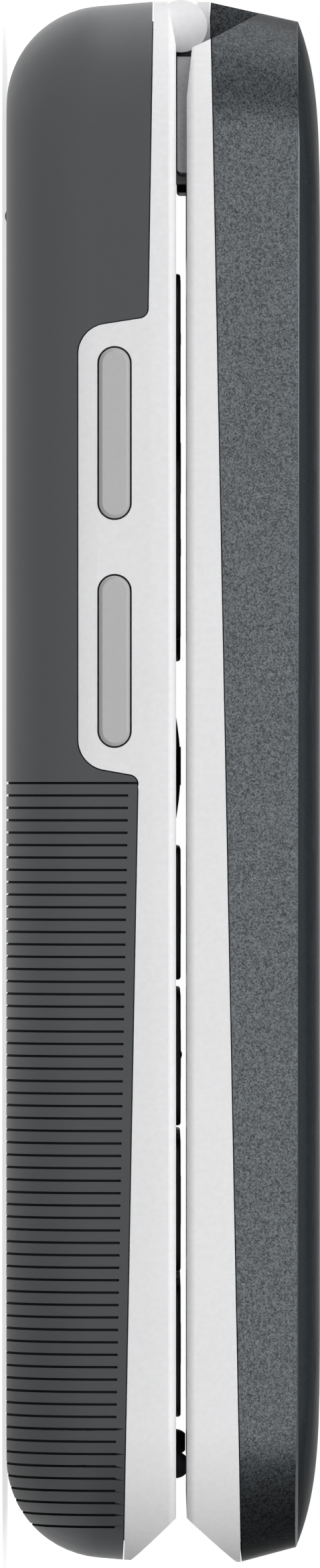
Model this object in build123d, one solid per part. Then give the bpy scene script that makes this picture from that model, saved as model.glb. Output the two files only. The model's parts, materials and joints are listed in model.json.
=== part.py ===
from build123d import *
import math
import os

# A flip phone, shut and lying on its back.
# X runs across the phone, Y towards the hinge end and Z from the back to the lid's top.
# The origin is under the middle of the phone, level with the raised dot on its back.
# All sizes are millimetres and all angles degrees.

# Overall form
LENGTH = 102.0
WIDTH = 53.0
END_Y = LENGTH / 2      # hinge end
FOOT_Y = -LENGTH / 2    # thumb end
CORNER_R = 9.0          # plan corners of both halves
DOT_PROUD = 0.25        # the raised dot of the assistance button, which the phone rests on
BASE_THICKNESS = 11.06  # back to keypad face
FACE_GAP = 0.70         # shut gap between the keypad face and the lid's inner face
LID_WALL_RISE = 7.25    # lid's inner face to the line where its wall meets the domed top
CROWN_RISE = 1.50       # dome above that line

# Base shell
BASE_DRAFT = 4.5        # lean of the walls below the waist
WAIST_DROP = 1.50       # straight wall under the keypad face
BACK_EDGE_R = 6.5       # rounding of the back into the walls
BASE_WALL = 1.20
DECK = 1.20             # plate that the keys stand in
FACE_EDGE_R = 0.55
SEAM_GAP = 0.08         # line between two shells
LIP = 0.80              # frame's lip inside the rear cover
LIP_FIT = 0.06
LIP_DROP = 3.10         # lip's reach below the keypad deck

# Seam between pale frame and rear cover, as drops below the keypad face
SEAM_DROP_HINGE = 1.48
SEAM_DROP_UPPER = 1.82
SEAM_DROP_LOWER = 2.46
SEAM_DROP_FOOT = 3.43
BULGE_DROP = 6.38       # frame's side bulges, which hold the side keys and the charging socket
BULGE_TOP_Y = END_Y - 20.8
BULGE_FOOT_Y = END_Y - 50.65
BULGE_LEAN = 0.70
BULGE_INNER_R = 2.0
BULGE_OUTER_R = 0.60

# Thumb notch across the foot, cut at 45 degrees out of both halves
NOTCH = 3.10

# Easing of the gap at the hinge end
BASE_EASING = 3.1
BASE_EASING_DROP = 0.56
LID_EASING = 6.5
LID_EASING_RISE = 0.69

# Ribs round the lower half of the rear cover
RIB_PITCH = 0.807
RIB_TOP_Y = BULGE_FOOT_Y - 0.35
RIB_DEPTH = 0.13
RIB_CUT = 0.16
RIB_MARGIN = 0.62       # plain border between the ribs and the cover's rim
RIB_FOOT_Y = FOOT_Y + 2.2   # the ribs end above this

# Lid shell
LID_SEAM_RISE = 1.54    # inner face to the cover seam, at the hinge end
LID_SEAM_CLIMB = 2.02   # how much higher that seam is at the foot
LID_DRAFT = 13.8
LID_WALL = 1.10
LID_PLATE = 1.39        # plate behind the lid's inner face
CROWN_RUN = 16.5        # how far in from the wall the dome keeps rising
CROWN_POWER = 4.4
CROWN_EDGE = 0.6        # how far in the dome starts
CROWN_SHARES = (0, 0.04, 0.10, 0.19, 0.32, 0.48, 0.64)  # sections, as shares of the half-width
CROWN_EDGE_DROP = 0.26  # how far the dome carries on below the wall's edge
NOTCH_LID_SLOPE = 1.06

# Hinge
KNUCKLE_R = 1.70
KNUCKLE_HALF = WIDTH / 2 - 9.5
EAR_WIDTH = 3.15
HINGE_SIDE_GAP = 0.15
HINGE_ROUND_GAP = 0.15
OPEN_ANGLE = 150.0
SWING_MARGIN = 4.0      # extra turn that the reliefs leave clear
TROUGH_WALL = 0.90
PIN_R = 0.75
PIN_LENGTH = 8.0
PIN_SEAT = 2.6          # pin's reach into its ear
PIN_FIT = 0.02
PIN_RUN = 0.04
CARTRIDGE_R = 1.25
CARTRIDGE_LENGTH = 11.0
BUSH_LENGTH = 6.0
HINGE_BLOCK_FOOT_Y = END_Y - 10.9
HINGE_BLOCK_DROP = 1.30  # below the lid's inner face
HINGE_BLOCK_GAP = 0.20

# Keys
KEY_PROUD = 0.31
KEY_GAP = 0.12
KEY_TRAVEL = 0.25
KEY_EDGE_R = 0.20
KEY_FLANGE = 0.30
KEY_FLANGE_T = 0.35
KEY_FLANGE_GAP = 0.06
NIB_R = 1.0
NIB_DROP = 0.50
COLUMN_PITCH = (WIDTH - 6.5) / 3
KEY_WIDTH = COLUMN_PITCH - 0.85
KEY_CORNER_R = 1.6
FIRST_ROW_Y = END_Y - 59.57
LAST_ROW_Y = FOOT_Y + 13.93
ROW_PITCH = (FIRST_ROW_Y - LAST_ROW_Y) / 3
KEY_HEIGHT = ROW_PITCH - 0.85
DIMPLE_R = 0.45         # raised bead on the middle digit key
QUICK_Y = END_Y - 50.1
QUICK_HEIGHT = 6.7
SIDE_KEY_X = WIDTH / 2 - 8.15
SIDE_KEY_WIDTH = 9.2
SOFT_KEY_Y = END_Y - 22.07
SOFT_KEY_HEIGHT = 7.84
CALL_KEY_Y = END_Y - 35.7
CALL_KEY_HEIGHT = 12.0
NAV_Y = END_Y - 30.2
NAV_WIDTH = WIDTH - 28.0
NAV_HEIGHT = 25.6
NAV_CORNER_R = 0.4 * NAV_WIDTH
OK_SIZE = 10.4
OK_CORNER_R = 3.4
VOLUME_UP_Y = END_Y - 28.35
VOLUME_DOWN_Y = END_Y - 43.15
VOLUME_LENGTH = 11.07
VOLUME_WIDTH = 2.0
VOLUME_DROP = 3.99      # below the keypad face
VOLUME_PROUD = 0.19
VOLUME_BEVEL = 0.22
VOLUME_TRAVEL = 0.30
HELP_Y = END_Y - 13.5
HELP_R = 5.4
HELP_TRAVEL = 0.30
DOT_R = 0.53

# Board stack, worked down from the keypad deck
DOME_RISE = 0.25
DOME_R = 2.0
DOME_CLEAR = 0.10
DOME_SHEET = 0.15
BOARD = 0.80
CHASSIS_PLATE = 1.20
INSIDE_FIT = 0.15       # loose fit of inner pieces
BATTERY_WIDTH = 34.0
BATTERY_FOOT_Y = FOOT_Y + 9.0
BATTERY_TOP_Y = END_Y - 46.0
BATTERY_EDGE_R = 1.0
BAY_WALL = 1.0
SCREW_R = 0.70
SCREW_HEAD_R = 1.35
SCREW_HEAD = 0.70
BOSS_R = 1.80
SCREW_X = WIDTH / 2 - 6.9
SCREW_TOP_Y = END_Y - 14.0
SCREW_FOOT_X = 14.0
SCREW_FOOT_Y = FOOT_Y + 5.4
BUMPER_X = WIDTH / 2 - 4.5
BUMPER_Y = FOOT_Y + 6.5
BUMPER_R = 0.87
BUMPER_SEAT = 0.60
BUMPER_CLEAR = 0.04
SOCKET_Y = END_Y - 36.0
SOCKET_LENGTH = 7.6
SOCKET_HEIGHT = 2.6
SOCKET_DEPTH = 5.2
SOCKET_SHELL = 0.30
SPEAKER_X = -14.5
SPEAKER_Y = END_Y - 24.0
SPEAKER_WIDTH = 10.0
SPEAKER_LENGTH = 14.0
SPEAKER_T = 3.4
SPEAKER_CORNER_R = 2.0
GRILLE_SLOTS = 4
GRILLE_PITCH = 1.7
GRILLE_SLOT = 0.8
GRILLE_LENGTH = 6.0
MIC_Y = FOOT_Y + 5.2
MIC_HOLE_R = 0.5

# Lid contents
LENS_WIDTH = WIDTH - 8.0
LENS_TOP_Y = HINGE_BLOCK_FOOT_Y - 5.6
LENS_FOOT_Y = FOOT_Y + 4.5
LENS_T = 0.80
LENS_CORNER_R = 3.0
LENS_GAP = 0.05
PANEL_WIDTH = WIDTH - 11.0
PANEL_T = 1.90
PANEL_CORNER_R = 0.8
PANEL_HIGH_Y = END_Y - 27.0
PANEL_LOW_Y = FOOT_Y + 15.0
PANEL_Y = (PANEL_HIGH_Y + PANEL_LOW_Y) / 2
PANEL_LENGTH = PANEL_HIGH_Y - PANEL_LOW_Y
VIEW_WIDTH = WIDTH - 16.0
VIEW_LENGTH = PANEL_LENGTH - 10.5
LID_BOARD_T = 0.80
EARPIECE_Y = END_Y - 13.8
EARPIECE_SLOT_LENGTH = 9.0
EARPIECE_SLOT = 1.2
EARPIECE_T = 1.8
EARPIECE_WIDTH = 5.0
MESH_T = 0.30
OUTER_WINDOW_Y = END_Y - 39.0
OUTER_WINDOW_WIDTH = 27.0
OUTER_WINDOW_LENGTH = 22.0
OUTER_WINDOW_R = 3.0
OUTER_WINDOW_T = 0.60
OUTER_WINDOW_SINK = 0.10
OUTER_PANEL_T = 1.50
CAMERA_Y = END_Y - 20.0
CAMERA_R = 3.3
CAMERA_MODULE = 7.4
FLASH_X = 8.0
FLASH_R = 1.3
LID_SCREW_X = WIDTH / 2 - 6.0
LID_SCREW_Y = END_Y - 13.2
MAGNET_X = 14.0
MAGNET_Y = FOOT_Y + 7.0
SCREW_REACH = 2.2
SCREW_SINK = 0.15
SWITCH_T = 1.60
SWITCH_SIZE = 4.0
SWITCH_FLEX_T = 0.20
SHIELD_T = 1.60
SHIELD_WIDTH = 17.5
SHIELD_LENGTH = 16.0
SHIELD_SHORT_LENGTH = 11.0
SHIELD_APART = 4.0
MOTOR_R = 1.8
MOTOR_LENGTH = 9.0
MOTOR_X = 12.0
MOTOR_Y = END_Y - 10.5
ANTENNA_T = 1.5
HOLDER_SIZE = (15.0, 8.0, 1.4)
HOLDER_X = 11.5
HOLDER_Y = END_Y - 21.0
HOLDER_WALL = 0.3
LID_BOARD_FOOT_Y = END_Y - 71.0
LID_BOARD_TOP_Y = END_Y - 17.0
FLEX_X = -11.0
FLEX_WIDTH = 6.0
FLEX_T = 0.20
MAGNET_SIZE = (5.0, 3.0, 2.0)

# Levels and places that follow from the sizes above
BACK_Z = DOT_PROUD
FACE_Z = BACK_Z + BASE_THICKNESS
WAIST_Z = FACE_Z - WAIST_DROP
DECK_Z = FACE_Z - DECK
FLOOR_Z = BACK_Z + BASE_WALL
LID_FACE_Z = FACE_Z + FACE_GAP
LID_EDGE_Z = LID_FACE_Z + LID_WALL_RISE
CROWN_Z = LID_EDGE_Z + CROWN_RISE
HINGE_Y = END_Y - KNUCKLE_R
HINGE_Z = FACE_Z + FACE_GAP / 2
EAR_LOW = KNUCKLE_HALF + HINGE_SIDE_GAP
EAR_HIGH = EAR_LOW + EAR_WIDTH
KEY_TOP_Z = FACE_Z + KEY_PROUD
FLANGE_TOP_Z = DECK_Z - KEY_FLANGE_GAP
FLANGE_FOOT_Z = FLANGE_TOP_Z - KEY_FLANGE_T
NIB_FOOT_Z = FLANGE_FOOT_Z - NIB_DROP
DOME_TOP_Z = NIB_FOOT_Z - KEY_TRAVEL - DOME_CLEAR
SHEET_TOP_Z = DOME_TOP_Z - DOME_RISE
BOARD_TOP_Z = SHEET_TOP_Z - DOME_SHEET
BOARD_Z = BOARD_TOP_Z - BOARD
CHASSIS_Z = BOARD_Z - CHASSIS_PLATE
PLATE_TOP_Z = LID_FACE_Z + LID_PLATE
PANEL_TOP_Z = PLATE_TOP_Z + PANEL_T
COVER_INNER_Z = CROWN_Z - LID_WALL
BEYOND = 5.0            # how far cutters reach past the phone


def outline(inset):
    """Plan outline of the phone, drawn in by inset."""
    return RectangleRounded(WIDTH - 2 * inset, LENGTH - 2 * inset, CORNER_R - inset)


def block(x_range, y_range, z_range):
    """A box between two limits on each axis."""
    ranges = (x_range, y_range, z_range)
    size = [high - low for low, high in ranges]
    centre = [(high + low) / 2 for low, high in ranges]
    return Pos(*centre) * Box(*size)


def plug(radius, x, y, z_low, z_high):
    """An upright cylinder between two levels."""
    return extrude(Pos(x, y, z_low) * Circle(radius), amount=z_high - z_low)


def plate(sketch, x, y, z_low, z_high):
    """A flat outline at a place in the plan, carried up between two levels."""
    return extrude(Pos(x, y, z_low) * sketch, amount=z_high - z_low)


def side_prism(sketch, x_low, x_high):
    """A side-view outline, drawn in Y and Z, carried across between two places in X."""
    return extrude(Pos(x_low, 0, 0) * (Plane.YZ * sketch), amount=x_high - x_low, dir=(1, 0, 0))


def side_polygon(points):
    """A side-view outline with straight sides, from (y, z) points."""
    return Polygon(*points, align=None)


def both_sides(solid):
    """The solid and its mirror image on the phone's other side."""
    return solid + mirror(solid, about=Plane.YZ)


def hinge_cylinder(radius, x_low, x_high):
    """A cylinder on the hinge's axis."""
    start = Plane(origin=(x_low, HINGE_Y, HINGE_Z), z_dir=(1, 0, 0))
    return extrude(start * Circle(radius), amount=x_high - x_low)


def opened(point, degrees):
    """Where a (y, z) point of the lid lies once the lid has opened by some degrees."""
    turn = math.radians(degrees)
    y = point[0] - HINGE_Y
    z = point[1] - HINGE_Z
    new_y = y * math.cos(turn) + z * math.sin(turn)
    new_z = z * math.cos(turn) - y * math.sin(turn)
    return (HINGE_Y + new_y, HINGE_Z + new_z)


# ---- Base shell ----

def base_form(inset, top_z):
    """The base's form, drawn in by inset at its walls and back, and level at top_z."""
    upper = plate(outline(inset), 0, 0, WAIST_Z, top_z)
    downwards = Plane(origin=(0, 0, WAIST_Z), x_dir=(1, 0, 0), z_dir=(0, 0, -1))
    depth = WAIST_Z - BACK_Z - inset
    lower = extrude(downwards * outline(inset), amount=depth, taper=BASE_DRAFT)
    back_edges = lower.edges().group_by(Axis.Z)[0]
    return upper + fillet(back_edges, BACK_EDGE_R - inset)


def pale_zone(growth):
    """Side view of the pale frame's share of the base, grown by a little along its seam."""
    far = END_Y + BEYOND
    hinge_slope = (SEAM_DROP_UPPER - SEAM_DROP_HINGE) / (END_Y - BULGE_TOP_Y)
    foot_slope = (SEAM_DROP_FOOT - SEAM_DROP_LOWER) / (END_Y + BULGE_FOOT_Y)
    upper = (BULGE_TOP_Y, FACE_Z - SEAM_DROP_UPPER)
    upper_in = (BULGE_TOP_Y - BULGE_LEAN, FACE_Z - BULGE_DROP)
    lower_in = (BULGE_FOOT_Y + BULGE_LEAN, FACE_Z - BULGE_DROP)
    lower = (BULGE_FOOT_Y, FACE_Z - SEAM_DROP_LOWER)
    zone = side_polygon([
        (far, FACE_Z - SEAM_DROP_HINGE + BEYOND * hinge_slope),
        upper,
        upper_in,
        lower_in,
        lower,
        (-far, FACE_Z - SEAM_DROP_FOOT - BEYOND * foot_slope),
        (-far, FACE_Z + BEYOND),
        (far, FACE_Z + BEYOND),
    ])
    for point, radius in ((upper, BULGE_OUTER_R), (lower, BULGE_OUTER_R),
                          (upper_in, BULGE_INNER_R), (lower_in, BULGE_INNER_R)):
        corner = zone.vertices().sort_by_distance((point[0], point[1], 0))[0]
        zone = fillet(corner, radius)
    return offset(zone, amount=growth)


def base_notch(growth):
    """Side view of the base's half of the thumb notch, grown by a little."""
    far = END_Y + BEYOND
    notch = side_polygon([
        (-END_Y + NOTCH, FACE_Z),
        (-far, FACE_Z - BEYOND - NOTCH),
        (-far, FACE_Z + BEYOND),
        (-END_Y + NOTCH, FACE_Z + BEYOND),
    ])
    return side_prism(offset(notch, amount=growth), -WIDTH, WIDTH)


def base_gap_cuts():
    """What the gap between the halves takes from the base: foot notch and hinge-end easing."""
    far = END_Y + BEYOND
    easing = side_polygon([
        (END_Y - BASE_EASING, FACE_Z),
        (far, FACE_Z - BASE_EASING_DROP * (BASE_EASING + BEYOND) / BASE_EASING),
        (far, FACE_Z + BEYOND),
        (END_Y - BASE_EASING, FACE_Z + BEYOND),
    ])
    return base_notch(0) + side_prism(easing, -WIDTH, WIDTH)


def base_shell():
    """The whole thin-walled base, before it is parted into frame and rear cover."""
    form = base_form(0, FACE_Z)
    form = fillet(form.edges().group_by(Axis.Z)[-1], FACE_EDGE_R)
    cavity = base_form(BASE_WALL, DECK_Z) - base_notch(BASE_WALL)
    return form - cavity - base_gap_cuts()


def base_relief():
    """What the opening lid sweeps out of the middle of the base, in side view."""
    lid_end = [
        (END_Y, HINGE_Z),
        (END_Y, lid_seam_z(END_Y)),
        (END_Y - (LID_EDGE_Z - lid_seam_z(END_Y)) * math.tan(math.radians(LID_DRAFT)), LID_EDGE_Z),
    ]
    swept = [opened(point, OPEN_ANGLE + SWING_MARGIN) for point in lid_end]
    outside = [(END_Y + BEYOND, swept[-1][1]), (END_Y + BEYOND, CROWN_Z), (swept[0][0], CROWN_Z)]
    return side_polygon(swept + outside)


def hinge_pocket():
    """Room in the base for the lid's knuckle and hinge block and for their swing."""
    half = KNUCKLE_HALF + HINGE_SIDE_GAP
    swing = side_prism(base_relief(), -half, half)
    barrel = hinge_cylinder(KNUCKLE_R + HINGE_ROUND_GAP, -half, half)
    foot_y = HINGE_BLOCK_FOOT_Y - HINGE_BLOCK_GAP
    floor_z = LID_FACE_Z - HINGE_BLOCK_DROP - HINGE_ROUND_GAP
    return swing + barrel + block((-half, half), (foot_y, HINGE_Y), (floor_z, CROWN_Z))


def hinge_trough():
    """Inner wall that closes the base off behind the swing of the lid's knuckle."""
    half = KNUCKLE_HALF + HINGE_SIDE_GAP + TROUGH_WALL
    swing = side_prism(offset(base_relief(), amount=TROUGH_WALL), -half, half)
    barrel = hinge_cylinder(KNUCKLE_R + HINGE_ROUND_GAP + TROUGH_WALL, -half, half)
    trough = (swing + barrel) & base_form(BASE_WALL + LIP_FIT, DECK_Z + DECK / 2)
    return trough - base_gap_cuts()


def hinge_ears():
    """The two ears that hold the hinge pins."""
    ear = hinge_cylinder(KNUCKLE_R, EAR_LOW, EAR_HIGH)
    return both_sides(ear)


def pin_holes(radius):
    """Blind pin holes in the ears."""
    hole = hinge_cylinder(radius, EAR_LOW - BEYOND, EAR_LOW + PIN_SEAT)
    return both_sides(hole)


def frame_lip():
    """The lip that stands inside the rear cover, left out behind the side bulges."""
    inset = BASE_WALL + LIP_FIT
    low_z = DECK_Z - LIP_DROP
    ring = base_form(inset, DECK_Z + DECK / 2) - base_form(inset + LIP, FACE_Z)
    ring -= block((-WIDTH, WIDTH), (-LENGTH, LENGTH), (BACK_Z - BEYOND, low_z))
    bulge = block((-WIDTH, WIDTH), (BULGE_FOOT_Y - LIP, BULGE_TOP_Y + LIP), (BACK_Z, DECK_Z))
    return ring - bulge - base_gap_cuts()


# ---- Keys ----

def rounded(width, height, radius):
    """A key outline with rounded corners."""
    return RectangleRounded(width, height, radius)


def digit_names():
    """Names of the digit keys, row by row from the top left."""
    return ["key_1", "key_2", "key_3", "key_4", "key_5", "key_6",
            "key_7", "key_8", "key_9", "key_star", "key_0", "key_hash"]


def key_places():
    """Outline and centre of every key on the deck, by name."""
    places = {}
    digit = rounded(KEY_WIDTH, KEY_HEIGHT, KEY_CORNER_R)
    for index, name in enumerate(digit_names()):
        row, column = divmod(index, 3)
        places[name] = (digit, (column - 1) * COLUMN_PITCH, FIRST_ROW_Y - row * ROW_PITCH)
    quick = SlotOverall(KEY_WIDTH, QUICK_HEIGHT)
    for column, letter in enumerate("abc"):
        places["quick_key_" + letter] = (quick, (column - 1) * COLUMN_PITCH, QUICK_Y)
    soft = rounded(SIDE_KEY_WIDTH, SOFT_KEY_HEIGHT, KEY_CORNER_R)
    call = rounded(SIDE_KEY_WIDTH, CALL_KEY_HEIGHT, KEY_CORNER_R)
    places["soft_key_left"] = (soft, -SIDE_KEY_X, SOFT_KEY_Y)
    places["soft_key_right"] = (soft, SIDE_KEY_X, SOFT_KEY_Y)
    places["call_key"] = (call, -SIDE_KEY_X, CALL_KEY_Y)
    places["end_key"] = (call, SIDE_KEY_X, CALL_KEY_Y)
    places["ok_key"] = (rounded(OK_SIZE, OK_SIZE, OK_CORNER_R), 0, NAV_Y)
    return places


def flanged_key(sketch, x, y, crowned=False):
    """A key cap with its retaining flange under the deck and the nib that presses its dome."""
    cap = plate(sketch, x, y, FLANGE_TOP_Z, KEY_TOP_Z)
    if crowned:
        cap = cap & quick_crown(x, y)
    else:
        cap = fillet(cap.edges().group_by(Axis.Z)[-1], KEY_EDGE_R)
    flange = plate(offset(sketch, amount=KEY_FLANGE), x, y, FLANGE_FOOT_Z, FLANGE_TOP_Z)
    return cap + flange + plug(NIB_R, x, y, NIB_FOOT_Z, FLANGE_FOOT_Z)


def quick_crown(x, y):
    """The shallow crown of a quick key, level with the deck at its long edges."""
    half = QUICK_HEIGHT / 2
    radius = (half ** 2 + KEY_PROUD ** 2) / (2 * KEY_PROUD)
    across = Pos(x, y, KEY_TOP_Z - radius) * Rot(0, 90, 0) * Cylinder(radius, KEY_WIDTH * 2)
    half = KEY_WIDTH / 2
    radius = (half ** 2 + KEY_PROUD ** 2) / (2 * KEY_PROUD)
    along = Pos(x, y, KEY_TOP_Z - radius) * Rot(90, 0, 0) * Cylinder(radius, KEY_WIDTH * 2)
    return across & along


def deck_key(name):
    """One key of the deck."""
    sketch, x, y = key_places()[name]
    key = flanged_key(sketch, x, y, crowned=name.startswith("quick"))
    if name == "key_5":
        key += Pos(x, y, KEY_TOP_Z - DIMPLE_R * 0.75) * Sphere(DIMPLE_R)
    return key


def nav_sketch():
    """Outer outline of the navigation ring."""
    return rounded(NAV_WIDTH, NAV_HEIGHT, NAV_CORNER_R)


def nav_hole():
    """Opening in the navigation ring for the OK key."""
    return offset(rounded(OK_SIZE, OK_SIZE, OK_CORNER_R), amount=KEY_GAP)


def nav_ring():
    """Navigation ring with its own flange and four nibs, round the OK key."""
    top_z = KEY_TOP_Z
    ring = plate(nav_sketch(), 0, NAV_Y, FLANGE_TOP_Z, top_z)
    ring = fillet(ring.edges().group_by(Axis.Z)[-1], KEY_EDGE_R)
    ring += plate(offset(nav_sketch(), amount=KEY_FLANGE), 0, NAV_Y, FLANGE_FOOT_Z, FLANGE_TOP_Z)
    ring -= plate(nav_hole(), 0, NAV_Y, FLANGE_FOOT_Z, top_z + 1)
    well = offset(nav_hole(), amount=KEY_FLANGE)
    well_top = FLANGE_TOP_Z + KEY_FLANGE_GAP + KEY_TRAVEL
    ring -= plate(well, 0, NAV_Y, FLANGE_FOOT_Z, well_top)
    reach = (NAV_HEIGHT + OK_SIZE) / 4
    for x, y in ((reach, 0), (-reach, 0), (0, reach), (0, -reach)):
        ring += plug(NIB_R, x, NAV_Y + y, NIB_FOOT_Z, FLANGE_FOOT_Z)
    return ring


def key_openings():
    """Holes in the deck for every key."""
    cuts = plate(offset(nav_sketch(), amount=KEY_GAP), 0, NAV_Y, DECK_Z - 1, KEY_TOP_Z)
    for name, (sketch, x, y) in key_places().items():
        if name != "ok_key":
            cuts += plate(offset(sketch, amount=KEY_GAP), x, y, DECK_Z - 1, KEY_TOP_Z)
    return cuts


def wall_x(z):
    """Half-width of the base's outer wall at a level below the waist."""
    return WIDTH / 2 - (WAIST_Z - z) * math.tan(math.radians(BASE_DRAFT))


VOLUME_Z = FACE_Z - VOLUME_DROP


def volume_sketch(growth):
    """Side-view outline of a volume key, grown by a clearance or flange."""
    return SlotOverall(VOLUME_LENGTH + 2 * growth, VOLUME_WIDTH + 2 * growth)


def volume_key(y):
    """A side key that stands through the frame's left bulge."""
    outer_x = wall_x(VOLUME_Z) + VOLUME_PROUD
    inner_x = wall_x(VOLUME_Z - VOLUME_WIDTH) - BASE_WALL - KEY_FLANGE_GAP
    placed = Pos(0, y, VOLUME_Z)
    cap = placed * side_prism(volume_sketch(0), -outer_x, -inner_x)
    cap = chamfer(cap.edges().group_by(Axis.X)[0], VOLUME_BEVEL)
    flange = placed * side_prism(volume_sketch(KEY_FLANGE), -inner_x, -inner_x + KEY_FLANGE_T)
    return cap + flange


def volume_openings():
    """Holes in the left bulge for the two volume keys."""
    hole = side_prism(volume_sketch(KEY_GAP), -WIDTH, -WIDTH / 2 + 2 * BASE_WALL)
    upper = Pos(0, VOLUME_UP_Y, VOLUME_Z) * hole
    lower = Pos(0, VOLUME_DOWN_Y, VOLUME_Z) * hole
    return upper + lower


def help_button():
    """The assistance button in the rear cover, with the raised dot that a finger finds."""
    button = plug(HELP_R, 0, HELP_Y, BACK_Z, FLOOR_Z + KEY_FLANGE_GAP)
    button = fillet(button.edges().group_by(Axis.Z)[0], KEY_EDGE_R)
    flange_foot = FLOOR_Z + KEY_FLANGE_GAP
    button += plug(HELP_R + 2 * KEY_FLANGE, 0, HELP_Y, flange_foot, flange_foot + KEY_FLANGE_T)
    stem_top = CHASSIS_Z - SWITCH_T - HELP_TRAVEL - DOME_CLEAR
    button += plug(NIB_R, 0, HELP_Y, flange_foot, stem_top)
    ball_r = (DOT_R ** 2 + DOT_PROUD ** 2) / (2 * DOT_PROUD)
    dot = Pos(0, HELP_Y, ball_r) * Sphere(ball_r)
    return button + (dot & plug(HELP_R, 0, HELP_Y, 0, FLOOR_Z))


# ---- Lid shell ----

def lid_seam_z(y):
    """Level of the seam between lid frame and lid cover at a place along the phone."""
    return LID_FACE_Z + LID_SEAM_RISE + (END_Y - y) * LID_SEAM_CLIMB / LENGTH


def seam_plane(shift):
    """The sloping plane of the lid's seam, moved up by shift."""
    slope = LID_SEAM_CLIMB / LENGTH
    return Plane(origin=(0, 0, lid_seam_z(0) + shift), x_dir=(1, 0, 0), z_dir=(0, slope, 1))


def dome_z(step, crown_z):
    """Level of the domed top at some distance in from the outline."""
    reach = (step - CROWN_EDGE) / CROWN_RUN
    rise = CROWN_RISE + CROWN_EDGE_DROP
    return crown_z - rise * (1 - min(reach, 1)) ** CROWN_POWER


def lid_dome(inset):
    """The lid's domed top with a straight skirt, drawn in and lowered by inset."""
    crown_z = CROWN_Z - inset
    sections = []
    for share in CROWN_SHARES:
        step = CROWN_EDGE + share * (WIDTH / 2 - CROWN_EDGE)
        width = WIDTH - 2 * (step + inset)
        length = LENGTH - 2 * (step + inset)
        radius = (CORNER_R - inset) * (1 - 2 * step / WIDTH)
        sections.append(Pos(0, 0, dome_z(step, crown_z)) * RectangleRounded(width, length, radius))
    skirt_z = dome_z(CROWN_EDGE, crown_z)
    skirt = plate(Rectangle(WIDTH, LENGTH), 0, 0, FACE_Z, skirt_z)
    return loft(sections) + skirt


def lid_form(inset, low_z):
    """The lid's form, drawn in by inset at walls and top, and level at low_z."""
    straight = plate(outline(inset), 0, 0, low_z, LID_EDGE_Z)
    above = extrude(seam_plane(0) * Rectangle(2 * WIDTH, 2 * LENGTH), amount=2 * LID_WALL_RISE)
    leaning = extrude(seam_plane(0) * outline(inset), amount=LID_WALL_RISE + BEYOND, taper=LID_DRAFT)
    return (straight - above) + (leaning & lid_dome(inset))


def above_seam(shift):
    """All the space above the lid's seam."""
    return extrude(seam_plane(shift) * Rectangle(2 * WIDTH, 2 * LENGTH), amount=2 * LID_WALL_RISE)


def lid_notch(growth):
    """Side view of the lid's half of the thumb notch, grown by a little."""
    far = END_Y + BEYOND
    notch = side_polygon([
        (-END_Y + NOTCH, LID_FACE_Z),
        (-far, LID_FACE_Z + (NOTCH + BEYOND) * NOTCH_LID_SLOPE),
        (-far, LID_FACE_Z - BEYOND),
        (-END_Y + NOTCH, LID_FACE_Z - BEYOND),
    ])
    return side_prism(offset(notch, amount=growth), -WIDTH, WIDTH)


def lid_gap_cuts():
    """What the gap between the halves takes from the lid: foot notch and hinge-end easing."""
    far = END_Y + BEYOND
    easing = side_polygon([
        (END_Y - LID_EASING, LID_FACE_Z),
        (far, LID_FACE_Z + LID_EASING_RISE * (LID_EASING + BEYOND) / LID_EASING),
        (far, LID_FACE_Z - BEYOND),
        (END_Y - LID_EASING, LID_FACE_Z - BEYOND),
    ])
    return lid_notch(0) + side_prism(easing, -WIDTH, WIDTH)


def lid_relief():
    """What the base's hinge end takes from the opened lid's shoulders, in side view."""
    lean = (WAIST_Z - BACK_Z) * math.tan(math.radians(BASE_DRAFT))
    base_end = [(END_Y, HINGE_Z), (END_Y, WAIST_Z), (END_Y - lean, BACK_Z)]
    swept = [opened(point, -OPEN_ANGLE - SWING_MARGIN) for point in base_end]
    outside = [(END_Y + BEYOND, swept[-1][1]), (END_Y + BEYOND, FACE_Z), (swept[0][0], FACE_Z)]
    return side_polygon(swept + outside)


def shoulder_cuts(growth):
    """The two reliefs that clear the base's ears and shoulders as the lid opens."""
    inner_x = EAR_LOW - HINGE_SIDE_GAP - growth
    relief = side_prism(offset(lid_relief(), amount=growth), inner_x, WIDTH)
    radius = KNUCKLE_R + HINGE_ROUND_GAP + growth
    ear_room = hinge_cylinder(radius, inner_x, EAR_HIGH + HINGE_SIDE_GAP + growth)
    return both_sides(relief + ear_room)


def lid_shell():
    """The whole thin-walled lid, before it is parted into frame and cover."""
    form = lid_form(0, LID_FACE_Z)
    form = fillet(form.edges().group_by(Axis.Z)[0], FACE_EDGE_R)
    cavity = lid_form(LID_WALL, PLATE_TOP_Z) - lid_notch(LID_WALL) - shoulder_cuts(LID_WALL)
    return form - cavity - lid_gap_cuts() - shoulder_cuts(0)


def hinge_block():
    """The lid's block between the ears: knuckle, and the bar that fills the gap behind it."""
    half = KNUCKLE_HALF
    bar = block((-half, half), (HINGE_BLOCK_FOOT_Y, HINGE_Y),
                (LID_FACE_Z - HINGE_BLOCK_DROP, LID_FACE_Z + LID_PLATE / 2))
    return bar + hinge_cylinder(KNUCKLE_R, -half, half)


def hinge_bores():
    """Bores in the knuckle for the cartridge on one side and the bush on the other."""
    cartridge = hinge_cylinder(CARTRIDGE_R, KNUCKLE_HALF - CARTRIDGE_LENGTH, KNUCKLE_HALF)
    bush = hinge_cylinder(CARTRIDGE_R, -KNUCKLE_HALF, BUSH_LENGTH - KNUCKLE_HALF)
    return cartridge + bush


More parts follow.
